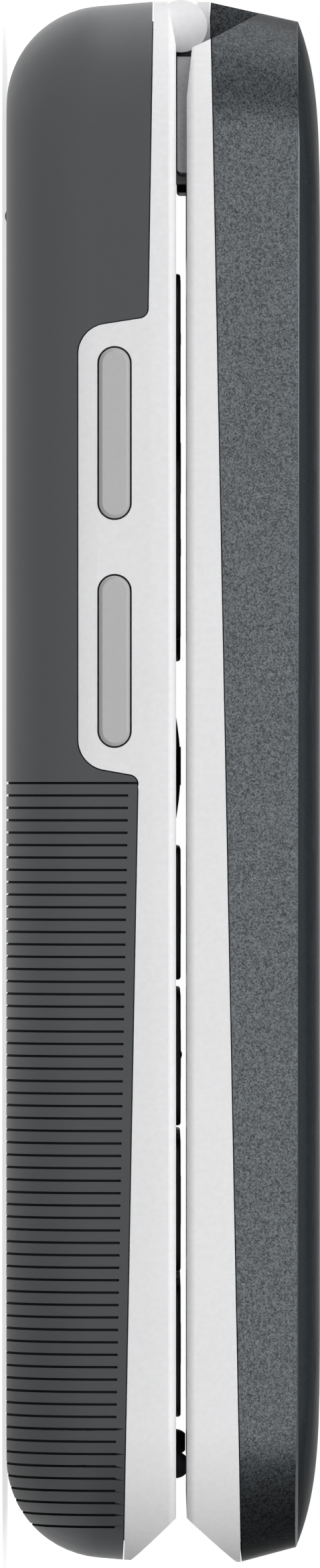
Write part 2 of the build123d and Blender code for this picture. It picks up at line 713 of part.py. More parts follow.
def lid_lip():
    """The frame's lip that stands inside the lid cover."""
    backing = LID_WALL + LIP_FIT
    inset = backing + LIP * math.tan(math.radians(LID_DRAFT))
    ring = plate(outline(inset), 0, 0, PLATE_TOP_Z - LID_PLATE / 2, LID_EDGE_Z)
    ring -= plate(outline(inset + LIP), 0, 0, LID_FACE_Z, LID_EDGE_Z)
    ring -= above_seam(LIP)
    return ring - shoulder_cuts(backing) - lid_notch(backing) - lid_gap_cuts()


def lens_sketch(growth):
    """Plan outline of the display lens."""
    length = LENS_TOP_Y - LENS_FOOT_Y
    return rounded(LENS_WIDTH + 2 * growth, length + 2 * growth, LENS_CORNER_R)


LENS_Y = (LENS_TOP_Y + LENS_FOOT_Y) / 2


def earpiece_slot(growth):
    """Plan outline of the earpiece slot."""
    return SlotOverall(EARPIECE_SLOT_LENGTH + 2 * growth, EARPIECE_SLOT + 2 * growth)


def lid_screw_places():
    """Plan places of the lid's screws, beside the hinge block."""
    return [(-LID_SCREW_X, LID_SCREW_Y), (LID_SCREW_X, LID_SCREW_Y)]


def lid_frame():
    """Pale inner frame of the lid, with knuckle, lens pocket and display window."""
    frame = lid_shell() - above_seam(-SEAM_GAP / 2)
    frame = frame + lid_lip() + hinge_block() - hinge_bores()
    frame -= plate(lens_sketch(LENS_GAP), 0, LENS_Y, LID_FACE_Z - 1, LID_FACE_Z + LENS_T)
    frame -= plate(Rectangle(VIEW_WIDTH, VIEW_LENGTH), 0, PANEL_Y, LID_FACE_Z, PLATE_TOP_Z + 1)
    frame -= plate(earpiece_slot(0), 0, EARPIECE_Y, LID_FACE_Z - 1, PLATE_TOP_Z + 1)
    frame -= plate(earpiece_slot(LIP / 2), 0, EARPIECE_Y, PLATE_TOP_Z - MESH_T, PLATE_TOP_Z + 1)
    for x, y in lid_screw_places():
        frame -= plug(SCREW_R + LIP_FIT, x, y, LID_FACE_Z, PLATE_TOP_Z + 1)
        frame -= plug(SCREW_HEAD_R + LIP_FIT, x, y, LID_FACE_Z - 1, LID_FACE_Z + SCREW_HEAD + SCREW_SINK)
    return frame


def outer_window_sketch(growth):
    """Plan outline of the lid's outer display window."""
    return rounded(OUTER_WINDOW_WIDTH + 2 * growth, OUTER_WINDOW_LENGTH + 2 * growth, OUTER_WINDOW_R)


WINDOW_TOP_Z = CROWN_Z - OUTER_WINDOW_SINK
WINDOW_Z = WINDOW_TOP_Z - OUTER_WINDOW_T


def lid_cover():
    """Painted outer cover of the lid, with its window, camera and flash openings and bosses."""
    cover = lid_shell() & above_seam(SEAM_GAP / 2)
    for x, y in lid_screw_places():
        boss = plug(BOSS_R, x, y, PLATE_TOP_Z, CROWN_Z) & lid_form(LID_WALL / 2, LID_FACE_Z)
        cover += boss
        cover -= plug(SCREW_R, x, y, PLATE_TOP_Z - 1, PLATE_TOP_Z + SCREW_REACH)
    cover -= plate(outer_window_sketch(LENS_GAP), 0, OUTER_WINDOW_Y, WINDOW_Z, CROWN_Z + 1)
    cover -= plate(outer_window_sketch(-LIP), 0, OUTER_WINDOW_Y, COVER_INNER_Z - 1, CROWN_Z + 1)
    cover -= plug(CAMERA_R + LENS_GAP, 0, CAMERA_Y, COVER_INNER_Z - 1, CROWN_Z + 1)
    cover -= plug(FLASH_R + LENS_GAP, FLASH_X, CAMERA_Y, COVER_INNER_Z - 1, CROWN_Z + 1)
    return cover


# ---- Base pieces ----

SOCKET_Z = BOARD_Z + BOARD / 2
INNER_TOP_Y = HINGE_Y - KNUCKLE_R - HINGE_ROUND_GAP - TROUGH_WALL - INSIDE_FIT
INNER_FOOT_Y = MIC_Y - BOSS_R
SIDE_SWITCH_X = wall_x(VOLUME_Z) - BASE_WALL - KEY_FLANGE_T - VOLUME_TRAVEL - 3 * KEY_GAP
FLEX_BOARD_X = SIDE_SWITCH_X - SWITCH_T + SWITCH_FLEX_T


def screw_places():
    """Plan places of the screws that hold the chassis and board up into the frame."""
    upper = [(-SCREW_X, SCREW_TOP_Y), (SCREW_X, SCREW_TOP_Y)]
    lower = [(-SCREW_FOOT_X, SCREW_FOOT_Y), (SCREW_FOOT_X, SCREW_FOOT_Y)]
    return upper + lower


def socket_sketch(growth):
    """Side-view outline of the charging socket."""
    return rounded(SOCKET_LENGTH + 2 * growth, SOCKET_HEIGHT + 2 * growth, SOCKET_HEIGHT / 4)


def base_frame():
    """Pale moulded frame: walls, side bulges, key deck, hinge ears and screw bosses."""
    zone = side_prism(pale_zone(-SEAM_GAP / 2), -WIDTH, WIDTH)
    frame = (base_shell() & zone) + frame_lip() + hinge_trough()
    frame = frame - hinge_pocket() + hinge_ears() - pin_holes(PIN_R + PIN_FIT)
    frame = frame - key_openings() - volume_openings()
    opening = side_prism(socket_sketch(LIP_FIT), wall_x(SOCKET_Z) - 2 * BASE_WALL, WIDTH)
    frame -= Pos(0, SOCKET_Y, SOCKET_Z) * opening
    frame -= plug(MIC_HOLE_R, 0, MIC_Y, DECK_Z - 1, FACE_Z + 1)
    for x in (-BUMPER_X, BUMPER_X):
        frame -= plug(BUMPER_R + PIN_FIT, x, BUMPER_Y, FACE_Z - BUMPER_SEAT, FACE_Z + 1)
    for x, y in screw_places():
        frame += plug(BOSS_R, x, y, BOARD_TOP_Z, DECK_Z + DECK / 2)
        frame -= plug(SCREW_R, x, y, BOARD_TOP_Z, DECK_Z)
    return frame


def rib_cutters():
    """The rings that cut the ribs' steps, wrapped round the cover's walls and back."""
    slope = (SEAM_DROP_FOOT - SEAM_DROP_LOWER) / (END_Y + BULGE_FOOT_Y)
    slabs = []
    count = math.floor((RIB_TOP_Y - RIB_FOOT_Y) / RIB_PITCH) + 1
    for index in range(count):
        y = RIB_TOP_Y - index * RIB_PITCH
        seam = FACE_Z - SEAM_DROP_LOWER + (y - BULGE_FOOT_Y) * slope
        slabs.append(block((-WIDTH, WIDTH), (y - RIB_CUT, y), (0, seam - RIB_MARGIN)))
    return Part() + slabs - base_form(RIB_DEPTH, FACE_Z)


def grille_slots():
    """Sound slots in the rear cover, below the loudspeaker."""
    slots = Part()
    for index in range(GRILLE_SLOTS):
        y = SPEAKER_Y + (index - (GRILLE_SLOTS - 1) / 2) * GRILLE_PITCH
        slots += plate(SlotOverall(GRILLE_LENGTH, GRILLE_SLOT), SPEAKER_X, y, 0, FLOOR_Z + 1)
    return slots


def rear_cover():
    """Soft-coated rear cover: a thin tub with ribs round its lower half."""
    half = KNUCKLE_HALF + HINGE_SIDE_GAP + TROUGH_WALL + SEAM_GAP
    zone = side_prism(pale_zone(SEAM_GAP / 2), -WIDTH, WIDTH)
    cover = base_shell() - zone
    cover -= side_prism(offset(base_relief(), amount=SEAM_GAP), -half, half)
    cover = cover - rib_cutters() - grille_slots()
    return cover - plug(HELP_R + KEY_GAP, 0, HELP_Y, 0, FLOOR_Z + 1)


def inner_outline(low_z, high_z):
    """The room inside the frame's lip between two levels."""
    form = base_form(BASE_WALL + LIP_FIT + LIP + INSIDE_FIT, FACE_Z)
    return form & block((-WIDTH, WIDTH), (INNER_FOOT_Y, INNER_TOP_Y), (low_z, high_z))


def side_clearance():
    """Room beside the board for the side keys, their switches and the charging socket."""
    keys = block((-WIDTH, -FLEX_BOARD_X), (BULGE_FOOT_Y, BULGE_TOP_Y), (BACK_Z, FACE_Z))
    inner_x = wall_x(SOCKET_Z) - SOCKET_DEPTH - INSIDE_FIT
    half = SOCKET_LENGTH / 2 + INSIDE_FIT
    socket = block((inner_x, WIDTH), (SOCKET_Y - half, SOCKET_Y + half), (BACK_Z, FACE_Z))
    return keys + socket


def speaker_sketch(growth):
    """Plan outline of the loudspeaker."""
    return rounded(SPEAKER_WIDTH + 2 * growth, SPEAKER_LENGTH + 2 * growth, SPEAKER_CORNER_R)


def bay(growth, low_z):
    """The battery's space, grown sideways."""
    half = BATTERY_WIDTH / 2 + growth
    return block((-half, half), (BATTERY_FOOT_Y - growth, BATTERY_TOP_Y + growth), (low_z, CHASSIS_Z))


def shield_places():
    """Plan limits of the two shield cans, as x and y ranges."""
    inner_x = SHIELD_APART / 2
    foot_y = BATTERY_TOP_Y + 2 * BAY_WALL
    outer_x = inner_x + SHIELD_WIDTH
    right = ((inner_x, outer_x), (foot_y, foot_y + SHIELD_LENGTH))
    left = ((-outer_x, -inner_x), (foot_y, foot_y + SHIELD_SHORT_LENGTH))
    return [right, left]


def chassis():
    """Inner chassis: plate under the board, battery bay walls and loudspeaker box."""
    body = inner_outline(CHASSIS_Z, BOARD_Z)
    low_z = FLOOR_Z + 2 * INSIDE_FIT
    body += bay(INSIDE_FIT + BAY_WALL, low_z) - bay(INSIDE_FIT, low_z - 1)
    box = plate(speaker_sketch(INSIDE_FIT + BAY_WALL), SPEAKER_X, SPEAKER_Y, low_z, CHASSIS_Z)
    body += box - plate(speaker_sketch(INSIDE_FIT), SPEAKER_X, SPEAKER_Y, 0, CHASSIS_Z)
    for x_range, y_range in shield_places():
        wide_x = (x_range[0] - INSIDE_FIT, x_range[1] + INSIDE_FIT)
        wide_y = (y_range[0] - INSIDE_FIT, y_range[1] + INSIDE_FIT)
        body -= block(wide_x, wide_y, (0, BOARD_Z))
    for x, y in screw_places():
        body -= plug(SCREW_R + LIP_FIT, x, y, 0, BOARD_Z)
    return body - side_clearance()


def main_board():
    """Main circuit board, lying on the chassis plate."""
    board = inner_outline(BOARD_Z, BOARD_TOP_Z) - side_clearance()
    for x, y in screw_places():
        board -= plug(SCREW_R + LIP_FIT, x, y, BOARD_Z, BOARD_TOP_Z)
    return board


def shield_cans():
    """Two folded shield cans soldered under the board."""
    cans = Part()
    for x_range, y_range in shield_places():
        can = block(x_range, y_range, (BOARD_Z - SHIELD_T, BOARD_Z))
        cans += chamfer(can.edges().group_by(Axis.Z)[0], SHIELD_T / 8)
    return cans


def battery():
    """Removable battery, filling its bay from the cover's floor to the chassis plate."""
    cell = bay(0, FLOOR_Z + INSIDE_FIT)
    return fillet(cell.edges().filter_by(Axis.Y), BATTERY_EDGE_R)


def sim_holder():
    """Card holder under the chassis plate, open towards the foot."""
    width, length, height = HOLDER_SIZE
    body = plate(Rectangle(width, length), HOLDER_X, HOLDER_Y, CHASSIS_Z - height, CHASSIS_Z)
    slot = Rectangle(width - 2 * HOLDER_WALL, length)
    low_z = CHASSIS_Z - height + HOLDER_WALL
    return body - plate(slot, HOLDER_X, HOLDER_Y - HOLDER_WALL, low_z, CHASSIS_Z - HOLDER_WALL)


def nib_places():
    """Plan places of all nibs that press a snap dome."""
    places = [(x, y) for sketch, x, y in key_places().values()]
    reach = (NAV_HEIGHT + OK_SIZE) / 4
    return places + [(reach, NAV_Y), (-reach, NAV_Y), (0, NAV_Y + reach), (0, NAV_Y - reach)]


def dome_sheet():
    """Thin sheet that holds the snap domes down on the board."""
    low_y = FIRST_ROW_Y - 3 * ROW_PITCH - KEY_HEIGHT / 2
    high_y = SOFT_KEY_Y + SOFT_KEY_HEIGHT / 2
    half = SIDE_KEY_X + DOME_R
    return block((-half, half), (low_y, high_y), (BOARD_TOP_Z, SHEET_TOP_Z))


def snap_domes():
    """Metal snap domes, one under each nib."""
    domes = Part()
    for x, y in nib_places():
        domes += Pos(x, y, (SHEET_TOP_Z + DOME_TOP_Z) / 2) * Cone(DOME_R, DOME_R / 2, DOME_RISE)
    return domes


def charging_socket():
    """Metal shell and tongue of the charging socket, set into the board's edge."""
    outer_x = wall_x(SOCKET_Z) - INSIDE_FIT
    inner_x = outer_x - SOCKET_DEPTH + INSIDE_FIT
    shell = side_prism(socket_sketch(0), inner_x, outer_x)
    shell -= side_prism(socket_sketch(-SOCKET_SHELL), inner_x + SOCKET_SHELL, outer_x + 1)
    tongue = side_prism(Rectangle(SOCKET_LENGTH / 2, SOCKET_SHELL), inner_x, outer_x - 1)
    return Pos(0, SOCKET_Y, SOCKET_Z) * (shell + tongue)


def loudspeaker():
    """Loudspeaker over the rear cover's sound slots."""
    low_z = FLOOR_Z + LIP_FIT
    return plate(speaker_sketch(0), SPEAKER_X, SPEAKER_Y, low_z, low_z + SPEAKER_T)


def microphone():
    """Microphone capsule under its hole in the deck."""
    return plug(BOSS_R, 0, MIC_Y, BOARD_TOP_Z, DECK_Z - INSIDE_FIT)


def antenna():
    """Antenna carrier across the foot, behind the battery bay."""
    high_y = BATTERY_FOOT_Y - INSIDE_FIT - BAY_WALL - INSIDE_FIT
    half = SCREW_FOOT_X - SCREW_HEAD_R - INSIDE_FIT
    return block((-half, half), (high_y - ANTENNA_T, high_y), (CHASSIS_Z - ANTENNA_T, CHASSIS_Z))


def vibration_motor():
    """Small motor that buzzes the phone, lying under the chassis plate."""
    lying = Rot(0, 90, 0) * Cylinder(MOTOR_R, MOTOR_LENGTH)
    return Pos(MOTOR_X, MOTOR_Y, CHASSIS_Z - MOTOR_R) * lying


def button_switches():
    """Switches for the two side keys on their flex board, and one for the assistance button."""
    half = SWITCH_SIZE / 2
    z_range = (VOLUME_Z - VOLUME_WIDTH / 2, VOLUME_Z + VOLUME_WIDTH / 2)
    flex_y = (VOLUME_DOWN_Y - SWITCH_SIZE, VOLUME_UP_Y + SWITCH_SIZE)
    group = block((-FLEX_BOARD_X - SWITCH_FLEX_T, -FLEX_BOARD_X), flex_y, z_range)
    for y in (VOLUME_UP_Y, VOLUME_DOWN_Y):
        group += block((-SIDE_SWITCH_X, -FLEX_BOARD_X - SWITCH_FLEX_T), (y - half, y + half), z_range)
    help_y = (HELP_Y - half, HELP_Y + half)
    return group + block((-half, half), help_y, (CHASSIS_Z - SWITCH_T, CHASSIS_Z))


def chassis_screws():
    """Screws that hold the chassis and the board to the frame."""
    screws = Part()
    for x, y in screw_places():
        screws += plug(SCREW_HEAD_R, x, y, CHASSIS_Z - SCREW_HEAD, CHASSIS_Z)
        screws += plug(SCREW_R, x, y, CHASSIS_Z, BOARD_TOP_Z + DECK)
    return screws


def bumpers():
    """Two soft half-round domes at the foot, cut flat where the shut lid comes down on them."""
    pair = Part()
    for x in (-BUMPER_X, BUMPER_X):
        ball = Pos(x, BUMPER_Y, FACE_Z) * Sphere(BUMPER_R)
        pair += ball & plug(BUMPER_R, x, BUMPER_Y, FACE_Z, LID_FACE_Z - BUMPER_CLEAR)
        pair += plug(BUMPER_R, x, BUMPER_Y, FACE_Z - BUMPER_SEAT, FACE_Z)
    return pair


def hinge_pins():
    """Steel pins fixed in the base's ears."""
    end_x = EAR_LOW + PIN_SEAT
    return both_sides(hinge_cylinder(PIN_R, end_x - PIN_LENGTH, end_x))


# ---- Lid pieces ----

def hinge_cartridge():
    """Sleeve of the hinge's friction cartridge, pressed into the knuckle."""
    low_x = KNUCKLE_HALF - CARTRIDGE_LENGTH
    sleeve = hinge_cylinder(CARTRIDGE_R, low_x, KNUCKLE_HALF)
    return sleeve - hinge_cylinder(PIN_R + PIN_RUN, low_x + BAY_WALL, KNUCKLE_HALF)


def hinge_bush():
    """Plain bush on the hinge's other side."""
    high_x = BUSH_LENGTH - KNUCKLE_HALF
    bush = hinge_cylinder(CARTRIDGE_R, -KNUCKLE_HALF, high_x)
    return bush - hinge_cylinder(PIN_R + PIN_RUN, -KNUCKLE_HALF, high_x)


def display_lens():
    """Dark glossy window over the inner display, flush with the lid's inner face."""
    return plate(lens_sketch(0), 0, LENS_Y, LID_FACE_Z, LID_FACE_Z + LENS_T)


def main_display():
    """Inner display panel on the frame's plate."""
    sketch = rounded(PANEL_WIDTH, PANEL_LENGTH, PANEL_CORNER_R)
    return plate(sketch, 0, PANEL_Y, PLATE_TOP_Z, PANEL_TOP_Z)


def earpiece():
    """Receiver capsule over the earpiece slot."""
    sketch = SlotOverall(EARPIECE_SLOT_LENGTH + 4 * LIP, EARPIECE_WIDTH)
    return plate(sketch, 0, EARPIECE_Y, PLATE_TOP_Z, PLATE_TOP_Z + EARPIECE_T)


def earpiece_mesh():
    """Fine mesh across the earpiece slot."""
    return plate(earpiece_slot(LIP / 2), 0, EARPIECE_Y, PLATE_TOP_Z - MESH_T, PLATE_TOP_Z)


def lid_board():
    """Lid's circuit board, lying on the back of the display."""
    y_range = (LID_BOARD_FOOT_Y, LID_BOARD_TOP_Y)
    half = PANEL_WIDTH / 2 - LIP
    return block((-half, half), y_range, (PANEL_TOP_Z, PANEL_TOP_Z + LID_BOARD_T))


def lid_flex():
    """Flat cable from the lid's board along the frame's plate towards the knuckle."""
    x_range = (FLEX_X - FLEX_WIDTH / 2, FLEX_X + FLEX_WIDTH / 2)
    start_y = PANEL_Y + PANEL_LENGTH / 2 + INSIDE_FIT
    flat = block(x_range, (start_y, HINGE_Y - KNUCKLE_R), (PLATE_TOP_Z, PLATE_TOP_Z + FLEX_T))
    return flat + block(x_range, (start_y, start_y + FLEX_T), (PLATE_TOP_Z, PANEL_TOP_Z))


def lid_magnet():
    """Magnet that tells the base the lid is shut."""
    width, length, height = MAGNET_SIZE
    return plate(Rectangle(width, length), MAGNET_X, MAGNET_Y, PLATE_TOP_Z, PLATE_TOP_Z + height)


def outer_window():
    """Glossy window of the outer display, sunk into the lid cover."""
    return plate(outer_window_sketch(0), 0, OUTER_WINDOW_Y, WINDOW_Z, WINDOW_TOP_Z)


def outer_display():
    """Outer display panel behind its window."""
    top_z = COVER_INNER_Z - LIP_FIT
    return plate(outer_window_sketch(0), 0, OUTER_WINDOW_Y, top_z - OUTER_PANEL_T, top_z)


def camera_module():
    """Camera block between the lid's board and its cover."""
    square = Rectangle(CAMERA_MODULE, CAMERA_MODULE)
    return plate(square, 0, CAMERA_Y, PANEL_TOP_Z + LID_BOARD_T, COVER_INNER_Z - LIP_FIT)


def camera_lens():
    """Round window over the camera."""
    return plug(CAMERA_R, 0, CAMERA_Y, COVER_INNER_Z, WINDOW_TOP_Z)


def flash_lens():
    """Small round window beside the camera."""
    return plug(FLASH_R, FLASH_X, CAMERA_Y, COVER_INNER_Z, WINDOW_TOP_Z)


def lid_screws():
    """Screws that hold the lid's cover to its frame."""
    head_z = LID_FACE_Z + SCREW_SINK
    screws = Part()
    for x, y in lid_screw_places():
        screws += plug(SCREW_HEAD_R, x, y, head_z, head_z + SCREW_HEAD)
        screws += plug(SCREW_R, x, y, head_z + SCREW_HEAD, PLATE_TOP_Z + SCREW_REACH)
    return screws


# ---- Export ----

def all_pieces():
    """Every node's solid, by name."""
    makers = [
        base_frame, rear_cover, chassis, main_board, shield_cans, battery, sim_holder, dome_sheet,
        snap_domes, charging_socket, loudspeaker, microphone, antenna, vibration_motor,
        button_switches, chassis_screws, bumpers, hinge_pins, lid_frame, lid_cover, display_lens,
        main_display, earpiece, earpiece_mesh, lid_board, lid_flex, lid_magnet, outer_window,
        outer_display, camera_module, camera_lens, flash_lens, lid_screws, hinge_cartridge,
        hinge_bush, nav_ring,
    ]
    pieces = {maker.__name__: maker() for maker in makers}
    for name in key_places():
        pieces[name] = deck_key(name)
    pieces["volume_up"] = volume_key(VOLUME_UP_Y)
    pieces["volume_down"] = volume_key(VOLUME_DOWN_Y)
    pieces["assistance_button"] = help_button()
    return pieces


def main():
    """Write one STEP file per piece."""
    os.makedirs("parts", exist_ok=True)
    for name, solid in all_pieces().items():
        export_step(solid, f"parts/{name}.step")


main()
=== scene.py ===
import json
import math

import bmesh
import bpy
from mathutils import Matrix, Vector

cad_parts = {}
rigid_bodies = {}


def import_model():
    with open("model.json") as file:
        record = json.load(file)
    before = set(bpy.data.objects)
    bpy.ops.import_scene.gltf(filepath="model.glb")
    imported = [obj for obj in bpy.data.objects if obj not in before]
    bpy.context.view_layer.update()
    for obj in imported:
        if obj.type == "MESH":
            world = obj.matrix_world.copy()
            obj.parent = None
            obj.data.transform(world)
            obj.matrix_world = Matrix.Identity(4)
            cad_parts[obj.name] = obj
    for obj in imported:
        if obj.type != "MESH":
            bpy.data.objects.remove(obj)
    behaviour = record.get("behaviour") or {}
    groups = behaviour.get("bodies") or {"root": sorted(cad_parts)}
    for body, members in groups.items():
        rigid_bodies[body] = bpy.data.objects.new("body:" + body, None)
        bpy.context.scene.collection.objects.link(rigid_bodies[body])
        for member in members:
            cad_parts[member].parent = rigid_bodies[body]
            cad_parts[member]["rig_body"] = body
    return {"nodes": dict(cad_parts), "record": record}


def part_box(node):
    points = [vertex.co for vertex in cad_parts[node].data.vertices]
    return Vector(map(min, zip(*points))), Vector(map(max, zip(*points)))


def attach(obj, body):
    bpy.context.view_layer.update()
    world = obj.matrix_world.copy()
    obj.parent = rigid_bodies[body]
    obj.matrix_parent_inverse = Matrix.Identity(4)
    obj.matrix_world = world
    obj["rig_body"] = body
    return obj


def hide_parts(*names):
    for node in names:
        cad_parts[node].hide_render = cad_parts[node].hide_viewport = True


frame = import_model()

# A flip phone, shut and lying on its back, with its hinge end towards +Y.
bpy.ops.object.select_all(action="DESELECT")
MM = 0.001
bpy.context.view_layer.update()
NODES = frame["nodes"]
SLOT_OF = {part["node"]: part["material_slot"] for part in frame["record"]["subparts"]}

# ---- Camera ----

IMAGE_HEIGHT = 2344             # pixels
FOCAL_PIXELS = 28864            # focal length in the same pixels
SENSOR_HEIGHT = 24.0            # millimetres
CAMERA_PLACE = (-1.280, -0.00014, 0.01027)      # metres
CLIP_START = 0.01


def add_camera():
    """A long-lens camera at the phone's volume-key side, with the hinge end upwards."""
    data = bpy.data.cameras.new("side_camera")
    data.sensor_fit = "VERTICAL"
    data.sensor_height = SENSOR_HEIGHT
    data.lens = FOCAL_PIXELS * SENSOR_HEIGHT / IMAGE_HEIGHT
    data.clip_start = CLIP_START
    camera = bpy.data.objects.new("side_camera", data)
    bpy.context.scene.collection.objects.link(camera)
    right, up, back = Vector((0, 0, 1)), Vector((0, 1, 0)), Vector((-1, 0, 0))
    turn = Matrix((right, up, back)).transposed().to_4x4()
    camera.matrix_world = Matrix.Translation(CAMERA_PLACE) @ turn
    bpy.context.scene.camera = camera


# ---- Lights, floor and world ----

LAMPS = (                       # name, place and width in metres, power in watts
    ("side_lamp", (-0.79, -0.02, 0.64), 0.7, 7.7),
    ("hinge_end_lamp", (0.22, 1.00, 0.14), 1.1, 7.5),
    ("lid_lamp", (0.10, 0.15, 1.05), 1.0, 3.4),
    ("far_side_lamp", (0.95, -0.10, 0.45), 0.9, 3.0),
)
WORLD_FILL = 0.32               # the world's light on a surface, against 1 to the eye
FOOT_SIDE_SHADE = 0.12          # share of that light left at the foot's side,
KEY_SIDE_SHADE = 0.35           # straight at the volume keys' side
OVERHEAD_SHADE = 0.55           # and overhead
HINGE_SIDE_GLOW = 1.4           # times as much light from the hinge's side
FOOT_SIDE = (-0.9, 0.0)         # where each of these sets in, on a direction's Y,
KEY_SIDE = (-1.0, -0.78)        # X,
OVERHEAD = (0.25, 0.95)         # Z
HINGE_SIDE = (0.25, 0.95)       # and Y
FLOOR_HALF = 6.0                # metres
FLOOR_GREY = 0.55
FLOOR_GLOW = 0.70               # the floor's own light near the phone, against 1 far away
FLOOR_FADE = (0.4, 1.3)         # metres from the phone over which it rises to 1
FLOOR_FOOT = (-0.085, -0.015)   # and the Y over which it sinks towards the foot


def add_lamp(name, place, size, power):
    """A square soft lamp that faces the phone's middle."""
    data = bpy.data.lights.new(name, "AREA")
    data.shape = "SQUARE"
    data.size = size
    data.energy = power
    lamp = bpy.data.objects.new(name, data)
    bpy.context.scene.collection.objects.link(lamp)
    direction = Vector((0, 0, CAMERA_PLACE[2])) - Vector(place)
    turn = direction.to_track_quat("-Z", "Y").to_matrix().to_4x4()
    lamp.matrix_world = Matrix.Translation(place) @ turn


# ---- Wiring of shader nodes ----

class Wiring:
    """A node tree with short calls that add a node and connect it."""

    def __init__(self, tree):
        self.tree = tree

    def feed(self, socket, value):
        """Connects an output to a socket, or writes a plain value into it."""
        if isinstance(value, bpy.types.NodeSocket):
            self.tree.links.new(value, socket)
        elif value is not None:
            socket.default_value = value

    def node(self, kind, sockets=None, **settings):
        """Adds a node with its settings and feeds its named or numbered sockets."""
        made = self.tree.nodes.new(kind)
        for name, value in settings.items():
            setattr(made, name, value)
        for name, value in (sockets or {}).items():
            self.feed(made.inputs[name], value)
        return made

    def math(self, operation, first, second=None):
        """One step of arithmetic."""
        return self.node("ShaderNodeMath", {0: first, 1: second}, operation=operation).outputs[0]

    def spread(self, value, low, high, new_low, new_high):
        """Maps a value from one range to another and stops at the ends."""
        sockets = {"Value": value, "From Min": low, "From Max": high,
                   "To Min": new_low, "To Max": new_high}
        return self.node("ShaderNodeMapRange", sockets).outputs["Result"]

    def blend(self, factor, first, second):
        """Mixes two colours, each an output or three plain numbers."""
        made = self.node("ShaderNodeMix", {"Factor": factor}, data_type="RGBA")
        for socket, colour in ((6, first), (7, second)):
            self.feed(made.inputs[socket], (*colour, 1) if isinstance(colour, tuple) else colour)
        return made.outputs[2]

    def vector(self, operation, first, second=None):
        """One step of arithmetic on vectors."""
        return self.node("ShaderNodeVectorMath", {0: first, 1: second},
                         operation=operation).outputs[0]

    def length(self, vector):
        """How long a vector is."""
        return self.node("ShaderNodeVectorMath", {0: vector}, operation="LENGTH").outputs["Value"]

    def scaled(self, vector, factor):
        """A vector, or a colour, times a factor."""
        return self.node("ShaderNodeVectorMath", {0: vector, "Scale": factor},
                         operation="SCALE").outputs[0]

    def near(self, value, middle, reach):
        """1 where a value lies within reach of a middle, else 0."""
        return self.node("ShaderNodeMath", {0: value, 1: middle, 2: reach},
                         operation="COMPARE").outputs[0]

    def place(self):
        """The point on the surface, in the object's own coordinates."""
        return self.node("ShaderNodeTexCoord").outputs["Object"]

    def parts(self, vector):
        """The three parts of a vector."""
        return self.node("ShaderNodeSeparateXYZ", {0: vector}).outputs

    def seen_directly(self):
        """1 for rays that show the background: camera, glossy and transmitted ones."""
        path = self.node("ShaderNodeLightPath").outputs
        eye = self.math("MAXIMUM", path["Is Camera Ray"], path["Is Glossy Ray"])
        return self.math("MAXIMUM", eye, path["Is Transmission Ray"])


def effect_group(name, inputs, outputs):
    """An empty shader node group with named number or vector sockets, and its wiring."""
    tree = bpy.data.node_groups.new(name, "ShaderNodeTree")
    for socket, value in inputs.items():
        kind = "NodeSocketFloat" if isinstance(value, (int, float)) else "NodeSocketVector"
        made = tree.interface.new_socket(socket, in_out="INPUT", socket_type=kind)
        made.default_value = value
    for socket in outputs:
        tree.interface.new_socket(socket, in_out="OUTPUT", socket_type="NodeSocketFloat")
    wiring = Wiring(tree)
    entry = wiring.node("NodeGroupInput").outputs
    leave = wiring.node("NodeGroupOutput").inputs
    return tree, wiring, entry, leave


NOISE_RANGE = (0.3, 0.7)            # what a noise nearly always stays within


def make_moulded_grain():
    """Fine grain of moulded plastic: a shade near 1 and a height."""
    tree, w, entry, leave = effect_group(
        "moulded_grain", {"Grains": 3000.0, "Darkest": 0.94, "Lightest": 1.04}, ("Shade", "Height"))
    grain = w.node("ShaderNodeTexNoise", {"Vector": w.place(), "Scale": entry["Grains"],
                                          "Detail": 3.0, "Roughness": 0.6}).outputs[0]
    w.feed(leave["Shade"], w.spread(grain, *NOISE_RANGE, entry["Darkest"], entry["Lightest"]))
    w.feed(leave["Height"], grain)
    return tree


FLAKE_SHARE = 0.62                  # the rest is a cloud
FLAKE_RANGE = (0.12, 0.88)
CLOUD_SCALE = 0.28                  # the cloud's scale against the flakes'


def make_metal_flake():
    """Metal flakes in a paint: each flake has its own brightness, over a soft cloud."""
    tree, w, entry, leave = effect_group(
        "metal_flake", {"Flakes": 11000.0, "Darkest": 0.5, "Lightest": 1.6}, ("Shade", "Height"))
    place = w.place()
    cells = w.node("ShaderNodeTexVoronoi", {"Vector": place, "Scale": entry["Flakes"]})
    bright = w.node("ShaderNodeSeparateColor", {0: cells.outputs["Color"]}).outputs[0]
    cloud_scale = w.math("MULTIPLY", entry["Flakes"], CLOUD_SCALE)
    cloud = w.node("ShaderNodeTexNoise", {"Vector": place, "Scale": cloud_scale,
                                          "Detail": 2.0}).outputs[0]
    both = w.math("ADD", w.math("MULTIPLY", bright, FLAKE_SHARE),
                  w.math("MULTIPLY", cloud, 1.0 - FLAKE_SHARE))
    w.feed(leave["Shade"], w.spread(both, *FLAKE_RANGE, entry["Darkest"], entry["Lightest"]))
    w.feed(leave["Height"], both)
    return tree


def make_handling_wear():
    """Broad faint patches left by hands, as a shade near 1 and a change of roughness."""
    tree, w, entry, leave = effect_group(
        "handling_wear", {"Patches": 90.0, "Strength": 0.06}, ("Shade", "Roughness"))
    patch = w.node("ShaderNodeTexNoise", {"Vector": w.place(), "Scale": entry["Patches"],
                                          "Detail": 4.0, "Roughness": 0.55}).outputs[0]
    centred = w.math("MULTIPLY", w.math("SUBTRACT", patch, 0.5), 2.0)
    change = w.math("MULTIPLY", centred, entry["Strength"])
    w.feed(leave["Shade"], w.math("ADD", change, 1.0))
    w.feed(leave["Roughness"], change)
    return tree


LINE_SQUEEZE = (0.03, 1.0, 1.0)     # draws a noise out along X


